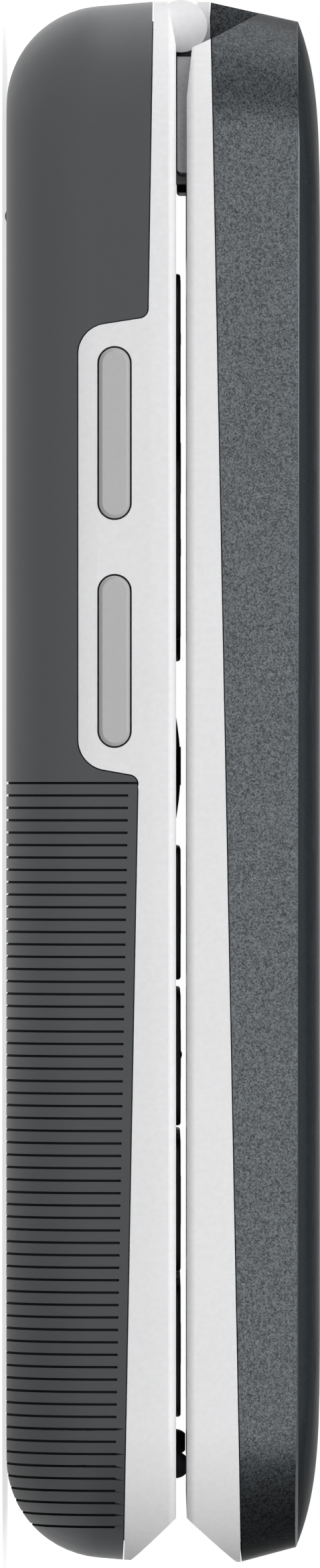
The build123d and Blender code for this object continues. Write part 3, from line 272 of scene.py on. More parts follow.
def make_drawn_lines():
    """Fine lines left in drawn or brushed metal, running along X."""
    tree, w, entry, leave = effect_group(
        "drawn_lines", {"Lines": 9000.0, "Darkest": 0.85, "Lightest": 1.1}, ("Shade", "Height"))
    squeezed = w.vector("MULTIPLY", w.place(), LINE_SQUEEZE)
    line = w.node("ShaderNodeTexNoise", {"Vector": squeezed, "Scale": entry["Lines"],
                                         "Detail": 2.0}).outputs[0]
    w.feed(leave["Shade"], w.spread(line, *NOISE_RANGE, entry["Darkest"], entry["Lightest"]))
    w.feed(leave["Height"], line)
    return tree


def make_hole_pattern():
    """A plan pattern of round holes on a square pitch: 1 inside a hole."""
    tree, w, entry, leave = effect_group(
        "hole_pattern", {"Pitch": 0.0004, "Hole": 0.3}, ("Hole",))
    part = w.parts(w.scaled(w.place(), w.math("DIVIDE", 1.0, entry["Pitch"])))
    across = w.math("SUBTRACT", w.math("FRACT", part["X"]), 0.5)
    along = w.math("SUBTRACT", w.math("FRACT", part["Y"]), 0.5)
    squares = w.math("ADD", w.math("MULTIPLY", across, across), w.math("MULTIPLY", along, along))
    w.feed(leave["Hole"], w.math("LESS_THAN", w.math("SQRT", squares), entry["Hole"]))
    return tree


PLAN = (1.0, 1.0, 0.0)              # leaves a vector's height out
PANEL_SOFTNESS = 0.08 * MM          # half the width of a panel's soft edge


def make_plan_disc():
    """A disc seen in plan: the distance from its centre as a share of its radius."""
    tree, w, entry, leave = effect_group(
        "plan_disc", {"Centre": (0.0, 0.0, 0.0), "Radius": 0.003}, ("Share",))
    offset = w.vector("SUBTRACT", w.place(), entry["Centre"])
    distance = w.length(w.vector("MULTIPLY", offset, PLAN))
    w.feed(leave["Share"], w.math("DIVIDE", distance, entry["Radius"]))
    return tree


def make_plan_panel():
    """A rectangle seen in plan: 1 inside it, with a narrow soft edge."""
    tree, w, entry, leave = effect_group(
        "plan_panel", {"Centre": (0.0, 0.0, 0.0), "Half": (0.01, 0.01, 0.0)}, ("Inside",))
    offset = w.vector("SUBTRACT", w.place(), entry["Centre"])
    beyond = w.parts(w.vector("SUBTRACT", w.vector("ABSOLUTE", offset), entry["Half"]))
    furthest = w.math("MAXIMUM", beyond["X"], beyond["Y"])
    w.feed(leave["Inside"], w.spread(furthest, -PANEL_SOFTNESS, PANEL_SOFTNESS, 1.0, 0.0))
    return tree


TRACKS_A_CELL = 3.0
TRACK_EDGE = (0.30, 0.34)


def make_board_tracks():
    """Copper tracks and pads under solder mask: 1 on a track, with its height."""
    tree, w, entry, leave = effect_group("board_tracks", {"Tracks": 900.0}, ("Track", "Height"))
    place = w.place()
    cells = w.node("ShaderNodeTexVoronoi", {"Vector": place, "Scale": entry["Tracks"]},
                   distance="MANHATTAN", feature="F1").outputs["Distance"]
    ridge = w.math("PINGPONG", w.math("MULTIPLY", cells, TRACKS_A_CELL), 0.5)
    track = w.spread(ridge, *TRACK_EDGE, 0.0, 1.0)
    w.feed(leave["Track"], track)
    w.feed(leave["Height"], track)
    return tree


EFFECTS = {
    "moulded_grain": make_moulded_grain(),
    "metal_flake": make_metal_flake(),
    "handling_wear": make_handling_wear(),
    "drawn_lines": make_drawn_lines(),
    "hole_pattern": make_hole_pattern(),
    "plan_disc": make_plan_disc(),
    "plan_panel": make_plan_panel(),
    "board_tracks": make_board_tracks(),
}


def effect(w, name, **values):
    """Places a shared effect in a material and gives its outputs."""
    made = w.node("ShaderNodeGroup")
    made.node_tree = EFFECTS[name]
    for socket, value in values.items():
        w.feed(made.inputs[socket], value)
    return made.outputs


# ---- World and floor ----

def set_world():
    """A world that is white to the eye and lights the phone softly, more or less by side."""
    world = bpy.data.worlds.new("studio")
    bpy.context.scene.world = world
    world.use_nodes = True
    world.node_tree.nodes.clear()
    w = Wiring(world.node_tree)
    side = w.parts(w.node("ShaderNodeTexCoord").outputs["Generated"])
    foot = w.spread(side["Y"], *FOOT_SIDE, FOOT_SIDE_SHADE, 1.0)
    keys = w.spread(side["X"], *KEY_SIDE, KEY_SIDE_SHADE, 1.0)
    overhead = w.spread(side["Z"], *OVERHEAD, 1.0, OVERHEAD_SHADE)
    hinge = w.spread(side["Y"], *HINGE_SIDE, 1.0, HINGE_SIDE_GLOW)
    shaded = w.math("MULTIPLY", w.math("MULTIPLY", foot, keys), overhead)
    shaped = w.math("MULTIPLY", shaded, hinge)
    eye = w.node("ShaderNodeLightPath").outputs["Is Camera Ray"]
    level = w.spread(w.seen_directly(), 0.0, 1.0, WORLD_FILL, 1.0)
    strength = w.math("MULTIPLY", level, w.math("MAXIMUM", shaped, eye))
    shade = w.node("ShaderNodeBackground", {"Color": (1, 1, 1, 1), "Strength": strength})
    w.node("ShaderNodeOutputWorld", {"Surface": shade.outputs[0]})


def add_floor():
    """A plain pale floor that the phone lies on."""
    bpy.ops.mesh.primitive_plane_add(size=2 * FLOOR_HALF, location=(0, 0, 0))
    floor = bpy.context.object
    floor.name = "floor"
    material = bpy.data.materials.new("floor_white")
    material.use_nodes = True
    material.node_tree.nodes.clear()
    w = Wiring(material.node_tree)
    matt = w.node("ShaderNodeBsdfDiffuse", {"Color": (FLOOR_GREY, FLOOR_GREY, FLOOR_GREY, 1)})
    spot = w.place()
    level = w.spread(w.length(spot), *FLOOR_FADE, FLOOR_GLOW, 1.0)
    foot = w.spread(w.parts(spot)["Y"], *FLOOR_FOOT, FOOT_SIDE_SHADE, 1.0)
    eye = w.node("ShaderNodeLightPath").outputs["Is Camera Ray"]
    shaded = w.math("MULTIPLY", level, w.math("MAXIMUM", foot, eye))
    strength = w.math("MULTIPLY", w.seen_directly(), shaded)
    glow = w.node("ShaderNodeEmission", {"Strength": strength})
    both = w.node("ShaderNodeAddShader", {0: matt.outputs[0], 1: glow.outputs[0]})
    w.node("ShaderNodeOutputMaterial", {"Surface": both.outputs[0]})
    floor.data.materials.append(material)
    bpy.ops.object.select_all(action="DESELECT")


# ---- Finishes ----

def finish_base(name, colour, roughness, metallic=0.0, specular=0.5):
    """A material with its shader's constant values, its wiring and the shader."""
    material = bpy.data.materials.new(name)
    material.use_nodes = True
    w = Wiring(material.node_tree)
    shader = material.node_tree.nodes["Principled BSDF"].inputs
    shader["Base Color"].default_value = (*colour, 1)
    shader["Roughness"].default_value = roughness
    shader["Metallic"].default_value = metallic
    shader["Specular IOR Level"].default_value = specular
    return material, w, shader


def add_relief(w, shader, height, depth):
    """Gives the surface a fine relief of some depth in metres."""
    bump = w.node("ShaderNodeBump", {"Height": height, "Distance": depth, "Strength": 1.0})
    w.feed(shader["Normal"], bump.outputs[0])


def moulded(name, colour, roughness, grains=3000.0, contrast=0.04, relief=0.006, specular=0.5):
    """Moulded plastic with a fine grain, whose relief is in millimetres."""
    material, w, shader = finish_base(name, colour, roughness, specular=specular)
    grain = effect(w, "moulded_grain", Grains=grains, Darkest=1 - contrast, Lightest=1 + contrast)
    wear = effect(w, "handling_wear", Patches=110.0, Strength=0.03)
    shade = w.math("MULTIPLY", grain["Shade"], wear["Shade"])
    w.feed(shader["Base Color"], w.scaled(colour, shade))
    w.feed(shader["Roughness"], w.math("ADD", wear["Roughness"], roughness))
    add_relief(w, shader, grain["Height"], relief * MM)
    return material, w, shader


METAL_RELIEF = 0.002 * MM


def metal(name, colour, roughness, lines=9000.0):
    """Drawn or plated metal with fine lines."""
    material, w, shader = finish_base(name, colour, roughness, metallic=1.0)
    line = effect(w, "drawn_lines", Lines=lines)
    wear = effect(w, "handling_wear", Patches=400.0, Strength=0.08)
    w.feed(shader["Base Color"], w.scaled(colour, w.math("MULTIPLY", line["Shade"], wear["Shade"])))
    w.feed(shader["Roughness"], w.math("ADD", wear["Roughness"], roughness))
    add_relief(w, shader, line["Height"], METAL_RELIEF)
    return material, w, shader


# Colours, in linear light.
PALE = (0.80, 0.80, 0.81)
COATING = (0.017, 0.021, 0.025)
PAINT = (0.020, 0.0225, 0.0245)
# the lid's paint again, in another shade: painted shading for how light falls on the dome
DOME_PAINTED_SHADING = (0.075, 0.084, 0.090)
# painted shade: pale plastic deep in the gap beside the hinge, written mid grey
GAP_PAINTED_SHADE_GREY = (0.28, 0.28, 0.29)
# partly unpainted moulding, partly painted light: lighter than the paint where the lid is cut
# beside the hinge
LINING_GREY_PAINTED_LIGHT = (0.17, 0.17, 0.18)
# painted shade: the grooves between the ribs are written near black
GROOVE_PAINTED_SHADE = (0.003, 0.003, 0.004)
KEY_DARK = (0.030, 0.032, 0.036)
KEY_GREY = (0.445, 0.445, 0.450)
RUBBER = (0.018, 0.017, 0.022)
SMOKED = (0.026, 0.027, 0.031)
PANEL_SHOW = (0.040, 0.044, 0.052)
PANEL_GREY = (0.016, 0.019, 0.024)
CAMERA_RING = (0.10, 0.10, 0.11)
FLASH_CREAM = (0.75, 0.72, 0.55)
BOARD_MASK = (0.010, 0.062, 0.034)
BOARD_TRACK = (0.03, 0.16, 0.075)
MESH_BAR = (0.22, 0.22, 0.23)
MESH_HOLE = (0.008, 0.008, 0.009)
SPEAKER_FRONT = (0.05, 0.05, 0.052)
SPEAKER_HOLE = (0.01, 0.01, 0.01)
AMBER = (0.35, 0.15, 0.03)
STEEL = (0.60, 0.60, 0.60)
BRASS = (0.58, 0.43, 0.20)

PAINT_EDGE_TINT = (0.1, 0.1, 0.1, 1)        # keeps the paint dark where it is seen very aslant
WINDOW_EDGE_TINT = (0.3, 0.3, 0.3, 1)       # and keeps the windows from mirroring the lamps
WINDOW_ROUGHNESS = 0.12
DOME_EDGE_Z = 19.26 * MM                    # where the lid's walls meet its dome
DOME_BLEND = 0.03 * MM
FLAKE_RELIEF = 0.002 * MM


def frame_plastic():
    """Pale satin moulding of both frames."""
    return moulded("frame_plastic", PALE, 0.46, grains=2600.0, contrast=0.025, relief=0.008)[0]


def soft_coating():
    """Soft-touch dark coating of the rear cover, a little paler where hands rub it."""
    material, _, shader = moulded("soft_coating", COATING, 0.37, grains=5200.0, contrast=0.05,
                                  relief=0.003, specular=0.75)
    shader["Sheen Weight"].default_value = 0.12
    shader["Sheen Roughness"].default_value = 0.30
    return material


def lid_paint():
    """Metal-flake paint: coarse on the lid's walls, fine and even on its dome, where the same paint
    gets another shade as painted shading for how light falls on the top.
    """
    material, w, shader = finish_base("lid_paint", PAINT, 0.46, metallic=1.0)
    shader["Specular Tint"].default_value = PAINT_EDGE_TINT
    dome = w.spread(w.parts(w.place())["Z"], DOME_EDGE_Z - DOME_BLEND, DOME_EDGE_Z, 0.0, 1.0)
    coarse = effect(w, "metal_flake", Flakes=11000.0, Darkest=0.05, Lightest=3.4)
    fine = effect(w, "metal_flake", Flakes=16000.0, Darkest=0.85, Lightest=1.20)
    wall = w.scaled(PAINT, coarse["Shade"])
    # the dome's own shade of the paint is painted shading
    top = w.scaled(DOME_PAINTED_SHADING, fine["Shade"])
    w.feed(shader["Base Color"], w.blend(dome, wall, top))
    w.feed(shader["Roughness"], w.spread(dome, 0.0, 1.0, 0.50, 0.40))
    w.feed(shader["Coat Weight"], w.spread(dome, 0.0, 1.0, 0.35, 0.0))
    shader["Coat Roughness"].default_value = 0.38
    add_relief(w, shader, coarse["Height"], FLAKE_RELIEF)
    return material


def gap_painted_shade():
    """Grained moulding of the pads that fill the gap beside the hinge, written mid grey: painted
    shade on pale plastic.
    """
    return moulded("gap_painted_shade", GAP_PAINTED_SHADE_GREY, 0.55, grains=7000.0, contrast=0.16, relief=0.01)[0]


def lid_lining_painted_light():
    """Grey moulding under the lid cover's edges: partly its own unpainted colour, partly painted
    light, set lighter than the paint so the cut beside the hinge reads bright.
    """
    return moulded("lid_lining_painted_light", LINING_GREY_PAINTED_LIGHT, 0.55, grains=7000.0, contrast=0.12, relief=0.01)[0]


def groove_painted_shade():
    """Near-black painted shade down in the grooves between the ribs, on a dull coating."""
    return moulded("groove_painted_shade", GROOVE_PAINTED_SHADE, 0.75, grains=5200.0, contrast=0.05,
                   relief=0.003, specular=0.15)[0]


def key_dark():
    """Dark satin key caps."""
    return moulded("key_dark", KEY_DARK, 0.42, grains=6000.0, contrast=0.06, relief=0.002)[0]


def volume_key_grey():
    """Grey satin volume keys."""
    return moulded("volume_key_grey", KEY_GREY, 0.45, grains=4200.0, contrast=0.02, relief=0.003)[0]


def button_rubber():
    """Soft dark assistance button."""
    return moulded("button_rubber", RUBBER, 0.60, grains=4800.0, contrast=0.08, relief=0.004)[0]


def bumper_rubber():
    """Matt rubber of the two bumpers."""
    return moulded("bumper_rubber", RUBBER, 0.70, grains=7000.0, contrast=0.10, relief=0.004)[0]


def chassis_plastic():
    """Plain dark moulding of the inner chassis."""
    return moulded("chassis_plastic", (0.045, 0.046, 0.050), 0.6, contrast=0.08)[0]


def battery_case():
    """Pale grey wrapped battery."""
    return moulded("battery_case", (0.42, 0.43, 0.45), 0.38, grains=1400.0, contrast=0.02)[0]


def middle_of(node):
    """Middle of a node's box."""
    low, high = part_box(node)
    return tuple((a + b) / 2 for a, b in zip(low, high))


PANEL_REACH = 3.0 * MM      # how far above or below its panel a window still shows it
VIEW_HALF = (17.6 * MM, 23.8 * MM, 0.0)         # half of the inner display's lit area
OUTER_VIEW_HALF = (10.5 * MM, 8.6 * MM, 0.0)    # and of the outer one's
OUTER_RING = (0.66, 0.035)  # a camera ring's place and half width, as shares of the lens
INNER_RING = (0.36, 0.02)


def panels_behind(w, views):
    """1 where a window shows a panel, from each panel's centre and half size."""
    height = w.parts(w.place())["Z"]
    inside = 0.0
    for centre, half in views:
        here = effect(w, "plan_panel", Centre=centre, Half=half)["Inside"]
        level = w.near(height, centre[2], PANEL_REACH)
        inside = w.math("MAXIMUM", inside, w.math("MULTIPLY", here, level))
    return inside


def camera_rings(w):
    """Rings seen in the camera's window: 1 on a bright ring."""
    low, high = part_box("camera_lens")
    share = effect(w, "plan_disc", Centre=middle_of("camera_lens"),
                   Radius=(high[0] - low[0]) / 2)["Share"]
    return w.math("MAXIMUM", w.near(share, *OUTER_RING), w.near(share, *INNER_RING))


def lens_window():
    """Smoked windows of both displays and of the camera, which shows rings in its depth."""
    material, w, shader = finish_base("lens_window", SMOKED, WINDOW_ROUGHNESS, metallic=1.0)
    shader["Specular Tint"].default_value = WINDOW_EDGE_TINT
    panels = panels_behind(w, ((middle_of("main_display"), VIEW_HALF),
                               (middle_of("outer_window"), OUTER_VIEW_HALF)))
    wear = effect(w, "handling_wear", Patches=160.0, Strength=0.02)
    glass = w.blend(panels, SMOKED, PANEL_SHOW)
    w.feed(shader["Base Color"], w.blend(camera_rings(w), glass, CAMERA_RING))
    w.feed(shader["Roughness"], w.math("ADD", wear["Roughness"], WINDOW_ROUGHNESS))
    return material


def display_glass():
    """Unlit display panels."""
    return moulded("display_glass", PANEL_GREY, 0.20, grains=9000.0, contrast=0.1, relief=0.001)[0]


FLASH_RADIUS = 1.3 * MM
FLASH_RINGS = 7.0


def flash_diffuser():
    """Frosted pale window of the flash, with fine rings."""
    material, w, shader = finish_base("flash_diffuser", FLASH_CREAM, 0.35)
    share = effect(w, "plan_disc", Centre=middle_of("flash_lens"), Radius=FLASH_RADIUS)["Share"]
    ring = w.math("PINGPONG", w.math("MULTIPLY", share, FLASH_RINGS), 0.5)
    w.feed(shader["Base Color"], w.scaled(FLASH_CREAM, w.spread(ring, 0.0, 0.5, 0.8, 1.1)))
    add_relief(w, shader, ring, 0.05 * MM)
    return material


def circuit_board():
    """Green board with copper tracks under its solder mask."""
    material, w, shader = finish_base("circuit_board", (0.012, 0.075, 0.040), 0.32)
    tracks = effect(w, "board_tracks", Tracks=700.0)
    w.feed(shader["Base Color"], w.blend(tracks["Track"], BOARD_MASK, BOARD_TRACK))
    add_relief(w, shader, tracks["Height"], 0.02 * MM)
    return material


def mesh_metal():
    """Fine woven metal over the earpiece."""
    material, w, shader = metal("mesh_metal", (0.20, 0.20, 0.21), 0.45)
    hole = effect(w, "hole_pattern", Pitch=0.32 * MM, Hole=0.3)["Hole"]
    w.feed(shader["Base Color"], w.blend(hole, MESH_BAR, MESH_HOLE))
    add_relief(w, shader, w.math("SUBTRACT", 1.0, hole), 0.05 * MM)
    return material


def speaker_case():
    """Dark speaker case with a dull perforated front."""
    material, w, shader = moulded("speaker_case", (0.03, 0.03, 0.032), 0.5)
    hole = effect(w, "hole_pattern", Pitch=0.7 * MM, Hole=0.28)["Hole"]
    w.feed(shader["Base Color"], w.blend(hole, SPEAKER_FRONT, SPEAKER_HOLE))
    return material


def clear_film():
    """Pale translucent film over the snap domes."""
    return moulded("clear_film", (0.55, 0.56, 0.58), 0.25, grains=900.0, contrast=0.03)[0]


def flex_film():
    """Amber film of the flat cables, with copper lines."""
    material, w, shader = finish_base("flex_film", AMBER, 0.35)
    line = effect(w, "drawn_lines", Lines=2400.0, Darkest=0.6, Lightest=1.3)
    w.feed(shader["Base Color"], w.scaled(AMBER, line["Shade"]))
    add_relief(w, shader, line["Height"], 0.01 * MM)
    return material


FINISHES = {
    "frame_plastic": frame_plastic(),
    "soft_coating": soft_coating(),
    "lid_paint": lid_paint(),
    "key_dark": key_dark(),
    "volume_key_grey": volume_key_grey(),
    "button_rubber": button_rubber(),
    "bumper_rubber": bumper_rubber(),
    "lens_window": lens_window(),
    "display_glass": display_glass(),
    "flash_diffuser": flash_diffuser(),
    "chassis_plastic": chassis_plastic(),
    "circuit_board": circuit_board(),
    "sheet_metal": metal("sheet_metal", STEEL, 0.34)[0],
    "spring_steel": metal("spring_steel", (0.66, 0.66, 0.67), 0.22, lines=14000.0)[0],
    "screw_steel": metal("screw_steel", (0.50, 0.50, 0.52), 0.30, lines=12000.0)[0],
    "socket_metal": metal("socket_metal", (0.62, 0.62, 0.63), 0.26)[0],
    "mesh_metal": mesh_metal(),
    "magnet_metal": metal("magnet_metal", (0.55, 0.55, 0.56), 0.30)[0],
    "bush_brass": metal("bush_brass", BRASS, 0.30)[0],
    "battery_case": battery_case(),
    "speaker_case": speaker_case(),
    "clear_film": clear_film(),
    "flex_film": flex_film(),
}


def dress(piece, finish):
    """Gives a piece one finish."""
    piece.data.materials.clear()
    piece.data.materials.append(finish)


# ---- Shells and caps with smooth shading ----

SMOOTH_NODES = (
    ["base_frame", "rear_cover", "lid_frame", "lid_cover", "bumpers", "assistance_button",
     "nav_ring", "ok_key", "volume_up", "volume_down", "outer_window", "camera_lens", "flash_lens",
     "display_lens", "soft_key_left", "soft_key_right", "call_key", "end_key", "charging_socket",
     "hinge_pins", "hinge_bush", "hinge_cartridge", "lid_screws", "loudspeaker"]
    + [name for name in NODES if name.startswith(("key_", "quick_key_"))]
)
SMOOTH_ANGLE = math.radians(28)
MERGE_DISTANCE = 0.0005 * MM
UNDERSIDE = -0.05               # a face that looks down more than this gets the grey lining, partly painted light, instead of the paint
RIB_TOP_Y = 0.0                 # hinge-end edge of the first groove between the ribs
RIB_PITCH = 0.807 * MM
RIB_COUNT = 61
GROOVE_WIDTH = 0.16 * MM
GROOVE_SLACK = 0.01 * MM


def smooth_shell(name):
    """A copy of a node's shell with its loose triangles joined and its curves shaded smooth."""
    source = NODES[name]
    shell = bpy.data.objects.new("smooth_" + name, source.data.copy())
    bpy.context.scene.collection.objects.link(shell)
    mesh = bmesh.new()
    mesh.from_mesh(shell.data)
    bmesh.ops.remove_doubles(mesh, verts=mesh.verts, dist=MERGE_DISTANCE)
    mesh.to_mesh(shell.data)
    mesh.free()
    shell.select_set(True)
    bpy.context.view_layer.objects.active = shell
    bpy.ops.mesh.customdata_custom_splitnormals_clear()
    bpy.ops.object.shade_smooth_by_angle(angle=SMOOTH_ANGLE)
    weights = shell.modifiers.new("even_faces", "WEIGHTED_NORMAL")
    weights.mode = "FACE_AREA_WITH_ANGLE"
    weights.keep_sharp = True
    bpy.ops.object.modifier_apply(modifier=weights.name)
    bpy.ops.object.select_all(action="DESELECT")
    dress(shell, FINISHES[SLOT_OF[name]])
    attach(shell, source["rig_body"])
    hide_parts(name)
    return shell


def looks_down(mesh, face):
    """True for a face that looks downwards, where the paint ends."""
    return face.normal.z < UNDERSIDE


def lies_in_groove(mesh, face):
    """True for a narrow face down between two ribs."""
    reach = GROOVE_WIDTH + 2 * GROOVE_SLACK
    ends = [mesh.vertices[corner].co.y for corner in face.vertices]
    index, step = divmod(RIB_TOP_Y + GROOVE_SLACK - face.center.y, RIB_PITCH)
    return max(ends) - min(ends) < reach and step < reach and 0 <= index < RIB_COUNT


def finish_faces(shell, test, finish):
    """Gives the faces of a shell that pass a test a finish of their own."""
    shell.data.materials.append(finish)
    for face in shell.data.polygons:
        if test(shell.data, face):
            face.material_index = 1


# ---- Pads in the gap beside the hinge ----

GAP = 0.70 * MM                 # between the base's face and the lid's
PAD_OUTER_X = 25.3 * MM
PAD_INNER_X = 17.3 * MM
PAD_FOOT_Y = 39.6 * MM
PAD_TOP_Y = 47.3 * MM
PAD_CLEARANCE = 0.08 * MM       # room left over the base's face
PAD_CORNER = 4.6 * MM           # follows the phone's corner in plan
PAD_FOOT_ROUND = 0.25 * MM
PAD_ROOT = 0.3 * MM             # how far the pads reach into the lid's frame
EDGE_REACH = 0.08 * MM          # an edge this near a pad's side belongs to it


def select_edges(mesh_edit, test):
    """Selects the edges whose middle and direction pass a test."""
    for edge in mesh_edit.edges:
        middle = (edge.verts[0].co + edge.verts[1].co) / 2
        run = edge.verts[1].co - edge.verts[0].co
        edge.select_set(test(middle, run))
    mesh_edit.select_flush_mode()


def gap_pad(side, name, finish):
    """A thin pad on the lid's inner face that fills the gap beside the hinge, grey with painted
    shade.
    """
    lid_face_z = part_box("display_lens")[0][2]
    foot_z = lid_face_z - GAP + PAD_CLEARANCE
    root_z = lid_face_z + PAD_ROOT
    size = (PAD_OUTER_X - PAD_INNER_X, PAD_TOP_Y - PAD_FOOT_Y, root_z - foot_z)
    middle = (side * (PAD_OUTER_X + PAD_INNER_X) / 2, (PAD_TOP_Y + PAD_FOOT_Y) / 2,
              (root_z + foot_z) / 2)
    bpy.ops.mesh.primitive_cube_add(size=1.0, location=(0, 0, 0), scale=size)
    pad = bpy.context.object
    pad.location = middle
    bpy.ops.object.transform_apply(location=True, rotation=True, scale=True)
    bpy.ops.object.mode_set(mode="EDIT")
    bpy.ops.mesh.select_mode(type="EDGE")
    edit = bmesh.from_edit_mesh(pad.data)
    outer = side * PAD_OUTER_X
    select_edges(edit, lambda at, run: abs(run.z) > 0 and at.y > middle[1]
                 and abs(at.x - outer) < EDGE_REACH)
    bpy.ops.mesh.bevel(offset=PAD_CORNER, segments=8, affect="EDGES")
    edit = bmesh.from_edit_mesh(pad.data)
    select_edges(edit, lambda at, run: at.z < middle[2] and at.y < PAD_FOOT_Y + EDGE_REACH
                 and abs(run.x) > size[0] / 2)
    bpy.ops.mesh.bevel(offset=PAD_FOOT_ROUND, segments=4, affect="EDGES")
    bpy.ops.object.mode_set(mode="OBJECT")
    bpy.ops.object.shade_smooth_by_angle(angle=SMOOTH_ANGLE)
    pad.name = name
    dress(pad, finish)
    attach(pad, "lid")
    bpy.ops.object.select_all(action="DESELECT")


# ---- Marks on the keys ----

MARK_RISE = 0.02 * MM           # how far a printed mark stands over its key
DIGIT_HEIGHT = 4.6 * MM
STAR_SIZE = 1.3                 # against a digit, as it stands high in its line,
STAR_DROP = 0.9 * MM            # and how far it is moved down for that
LETTER_SIZE = 0.8
FIVE_SHIFT = 2.1 * MM           # keeps the 5 clear of its key's raised dot
CURVE_STEPS = 4
BAR_LENGTH = 3.4 * MM
BAR_HEIGHT = 0.7 * MM
CALL_BAR_LENGTH = 4.4 * MM
CALL_BAR_HEIGHT = 1.1 * MM
BAR_END = 0.49                  # a bar's end radius as a share of its height
ARROW_RADIUS = 1.25 * MM
ARROW_CORNER = 0.18 * MM
ARROW_REACH_X = 9.0 * MM        # from the ring's middle to an arrow
ARROW_REACH_Y = 9.2 * MM
RING_RADIUS = 1.7 * MM
RING_WIDTH = 0.4 * MM
RING_SIDES = 40
MARK_GREEN = (0.03, 0.36, 0.10)
MARK_RED = (0.52, 0.03, 0.03)


def mark_paint(name, colour):
    """Printed paint of the key marks."""
    return moulded(name, colour, 0.42, grains=9000.0, contrast=0.03, relief=0.001)[0]


def key_top(key, y_shift=0.0):
    """Middle of a key's top, moved a little along the phone."""
    low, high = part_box(key)
    return ((low[0] + high[0]) / 2, (low[1] + high[1]) / 2 + y_shift, high[2])


def edit_all():
    """Starts to edit the active piece, with all of it selected."""
    bpy.ops.object.mode_set(mode="EDIT")
    bpy.ops.mesh.select_all(action="SELECT")


def thicken():
    """Gives the flat mark that is being edited its thickness, and ends the editing."""
    bpy.ops.mesh.select_all(action="SELECT")
    bpy.ops.mesh.extrude_region_move(TRANSFORM_OT_translate={"value": (0, 0, 2 * MARK_RISE)})
    bpy.ops.object.mode_set(mode="OBJECT")


def settle(mark, key, place, paint):
    """Joins a mark's mesh, turns its faces out and puts it on its key."""
    mark.name = "mark_" + key
    bpy.ops.object.select_all(action="DESELECT")
    mark.select_set(True)
    bpy.context.view_layer.objects.active = mark
    edit_all()
    bpy.ops.mesh.remove_doubles(threshold=MERGE_DISTANCE)
    bpy.ops.mesh.normals_make_consistent(inside=False)
    bpy.ops.object.mode_set(mode="OBJECT")
    mark.location = place
    bpy.ops.object.transform_apply(location=True, rotation=True, scale=True)
    dress(mark, paint)
    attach(mark, key)
    bpy.ops.object.select_all(action="DESELECT")


def letter_mark(key, letter, height, paint, drop=0.0, y_shift=0.0):
    """A printed character on a key, lowered by a drop where the key's box has a raised dot."""
    bpy.ops.object.text_add(location=(0, 0, 0))
    text = bpy.context.object
    text.data.body = letter
    text.data.size = height
    text.data.align_x = "CENTER"
    text.data.align_y = "CENTER"
    text.data.resolution_u = CURVE_STEPS
    text.data.extrude = MARK_RISE
    bpy.ops.object.convert(target="MESH")
    x, y, z = key_top(key, y_shift)
    settle(bpy.context.object, key, (x, y, z - drop), paint)


def bar_mark(key, length, height, paint):
    """A printed bar with rounded ends on a key."""
    bpy.ops.mesh.primitive_plane_add(size=1.0, location=(0, 0, -MARK_RISE))
    bar = bpy.context.object
    bar.scale = (length, height, 1)
    bpy.ops.object.transform_apply(location=True, rotation=False, scale=True)
    edit_all()
    bpy.ops.mesh.bevel(offset=height * BAR_END, segments=5, affect="VERTICES")
    thicken()
    settle(bar, key, key_top(key), paint)


def arrow_marks(key, paint):
    """Four printed arrowheads round a ring-shaped key."""
    arrows = []
    for index in range(4):
        turn = index * math.pi / 2
        reach = ARROW_REACH_Y if index % 2 == 0 else ARROW_REACH_X
        place = (-reach * math.sin(turn), reach * math.cos(turn), -MARK_RISE)
        bpy.ops.mesh.primitive_circle_add(vertices=3, radius=ARROW_RADIUS, fill_type="NGON",
                                          location=place, rotation=(0, 0, turn))
        arrows.append(bpy.context.object)
        edit_all()
        bpy.ops.mesh.bevel(offset=ARROW_CORNER, segments=2, affect="VERTICES")
        thicken()
        bpy.ops.object.transform_apply(location=True, rotation=True, scale=True)
    bpy.ops.object.select_all(action="DESELECT")
    for arrow in arrows:
        arrow.select_set(True)
    bpy.context.view_layer.objects.active = arrows[0]
    bpy.ops.object.join()
    settle(bpy.context.object, key, key_top(key), paint)


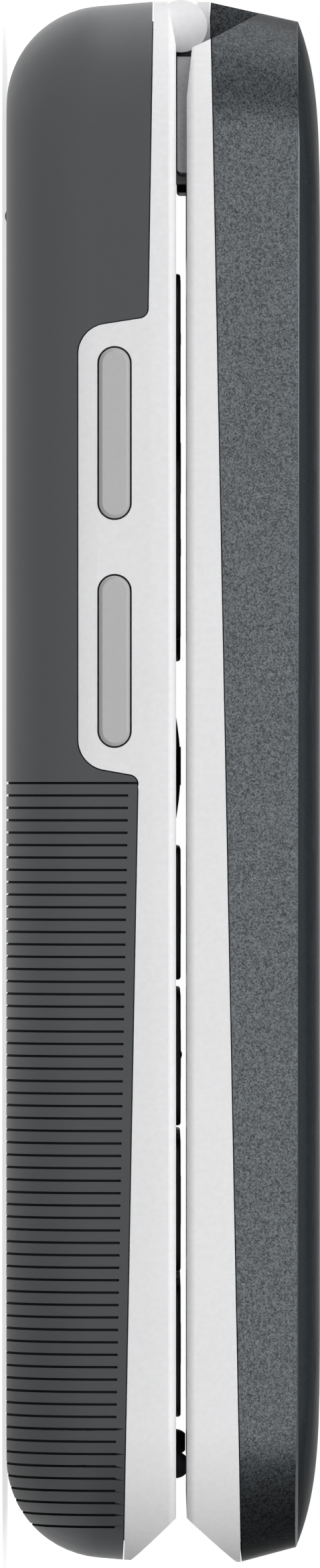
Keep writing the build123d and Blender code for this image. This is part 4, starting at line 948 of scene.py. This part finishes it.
def ring_mark(key, paint):
    """A printed ring in the middle of a key."""
    bpy.ops.mesh.primitive_circle_add(vertices=RING_SIDES, radius=RING_RADIUS, fill_type="NGON",
                                      location=(0, 0, -MARK_RISE))
    ring = bpy.context.object
    edit_all()
    bpy.ops.mesh.inset(thickness=RING_WIDTH, depth=0)
    bpy.ops.mesh.delete(type="FACE")
    thicken()
    settle(ring, key, key_top(key), paint)


def box_height(node):
    """How tall a node's box is."""
    low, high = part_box(node)
    return high[2] - low[2]


def add_key_marks():
    """Digits, signs and symbols on the keypad."""
    pale = mark_paint("mark_white", PALE)
    green = mark_paint("mark_green", MARK_GREEN)
    red = mark_paint("mark_red", MARK_RED)
    for digit in "0123456789":
        dot_height = box_height("key_5") - box_height("key_4") if digit == "5" else 0.0
        shift = FIVE_SHIFT if digit == "5" else 0.0
        letter_mark("key_" + digit, digit, DIGIT_HEIGHT, pale, dot_height, shift)
    letter_mark("key_star", "*", DIGIT_HEIGHT * STAR_SIZE, pale, y_shift=-STAR_DROP)
    letter_mark("key_hash", "#", DIGIT_HEIGHT, pale)
    for letter in "abc":
        letter_mark("quick_key_" + letter, letter.upper(), DIGIT_HEIGHT * LETTER_SIZE, pale)
    bar_mark("soft_key_left", BAR_LENGTH, BAR_HEIGHT, pale)
    bar_mark("soft_key_right", BAR_LENGTH, BAR_HEIGHT, pale)
    bar_mark("call_key", CALL_BAR_LENGTH, CALL_BAR_HEIGHT, green)
    bar_mark("end_key", CALL_BAR_LENGTH, CALL_BAR_HEIGHT, red)
    arrow_marks("nav_ring", pale)
    ring_mark("ok_key", pale)


# ---- The scene ----

add_camera()
for lamp in LAMPS:
    add_lamp(*lamp)
set_world()
add_floor()
for node_name, node_object in NODES.items():
    dress(node_object, FINISHES[SLOT_OF[node_name]])
shells = {node_name: smooth_shell(node_name) for node_name in SMOOTH_NODES}
# faces that look down get the grey lining, partly painted light
finish_faces(shells["lid_cover"], looks_down, lid_lining_painted_light())
# the faces down in the grooves get near-black painted shade
finish_faces(shells["rear_cover"], lies_in_groove, groove_painted_shade())
# the gap pads are pale plastic written grey, as painted shade
pad_painted_shade = gap_painted_shade()
gap_pad(-1, "gap_pad_left", pad_painted_shade)
gap_pad(1, "gap_pad_right", pad_painted_shade)
add_key_marks()
bpy.context.scene.view_settings.view_transform = "Standard"
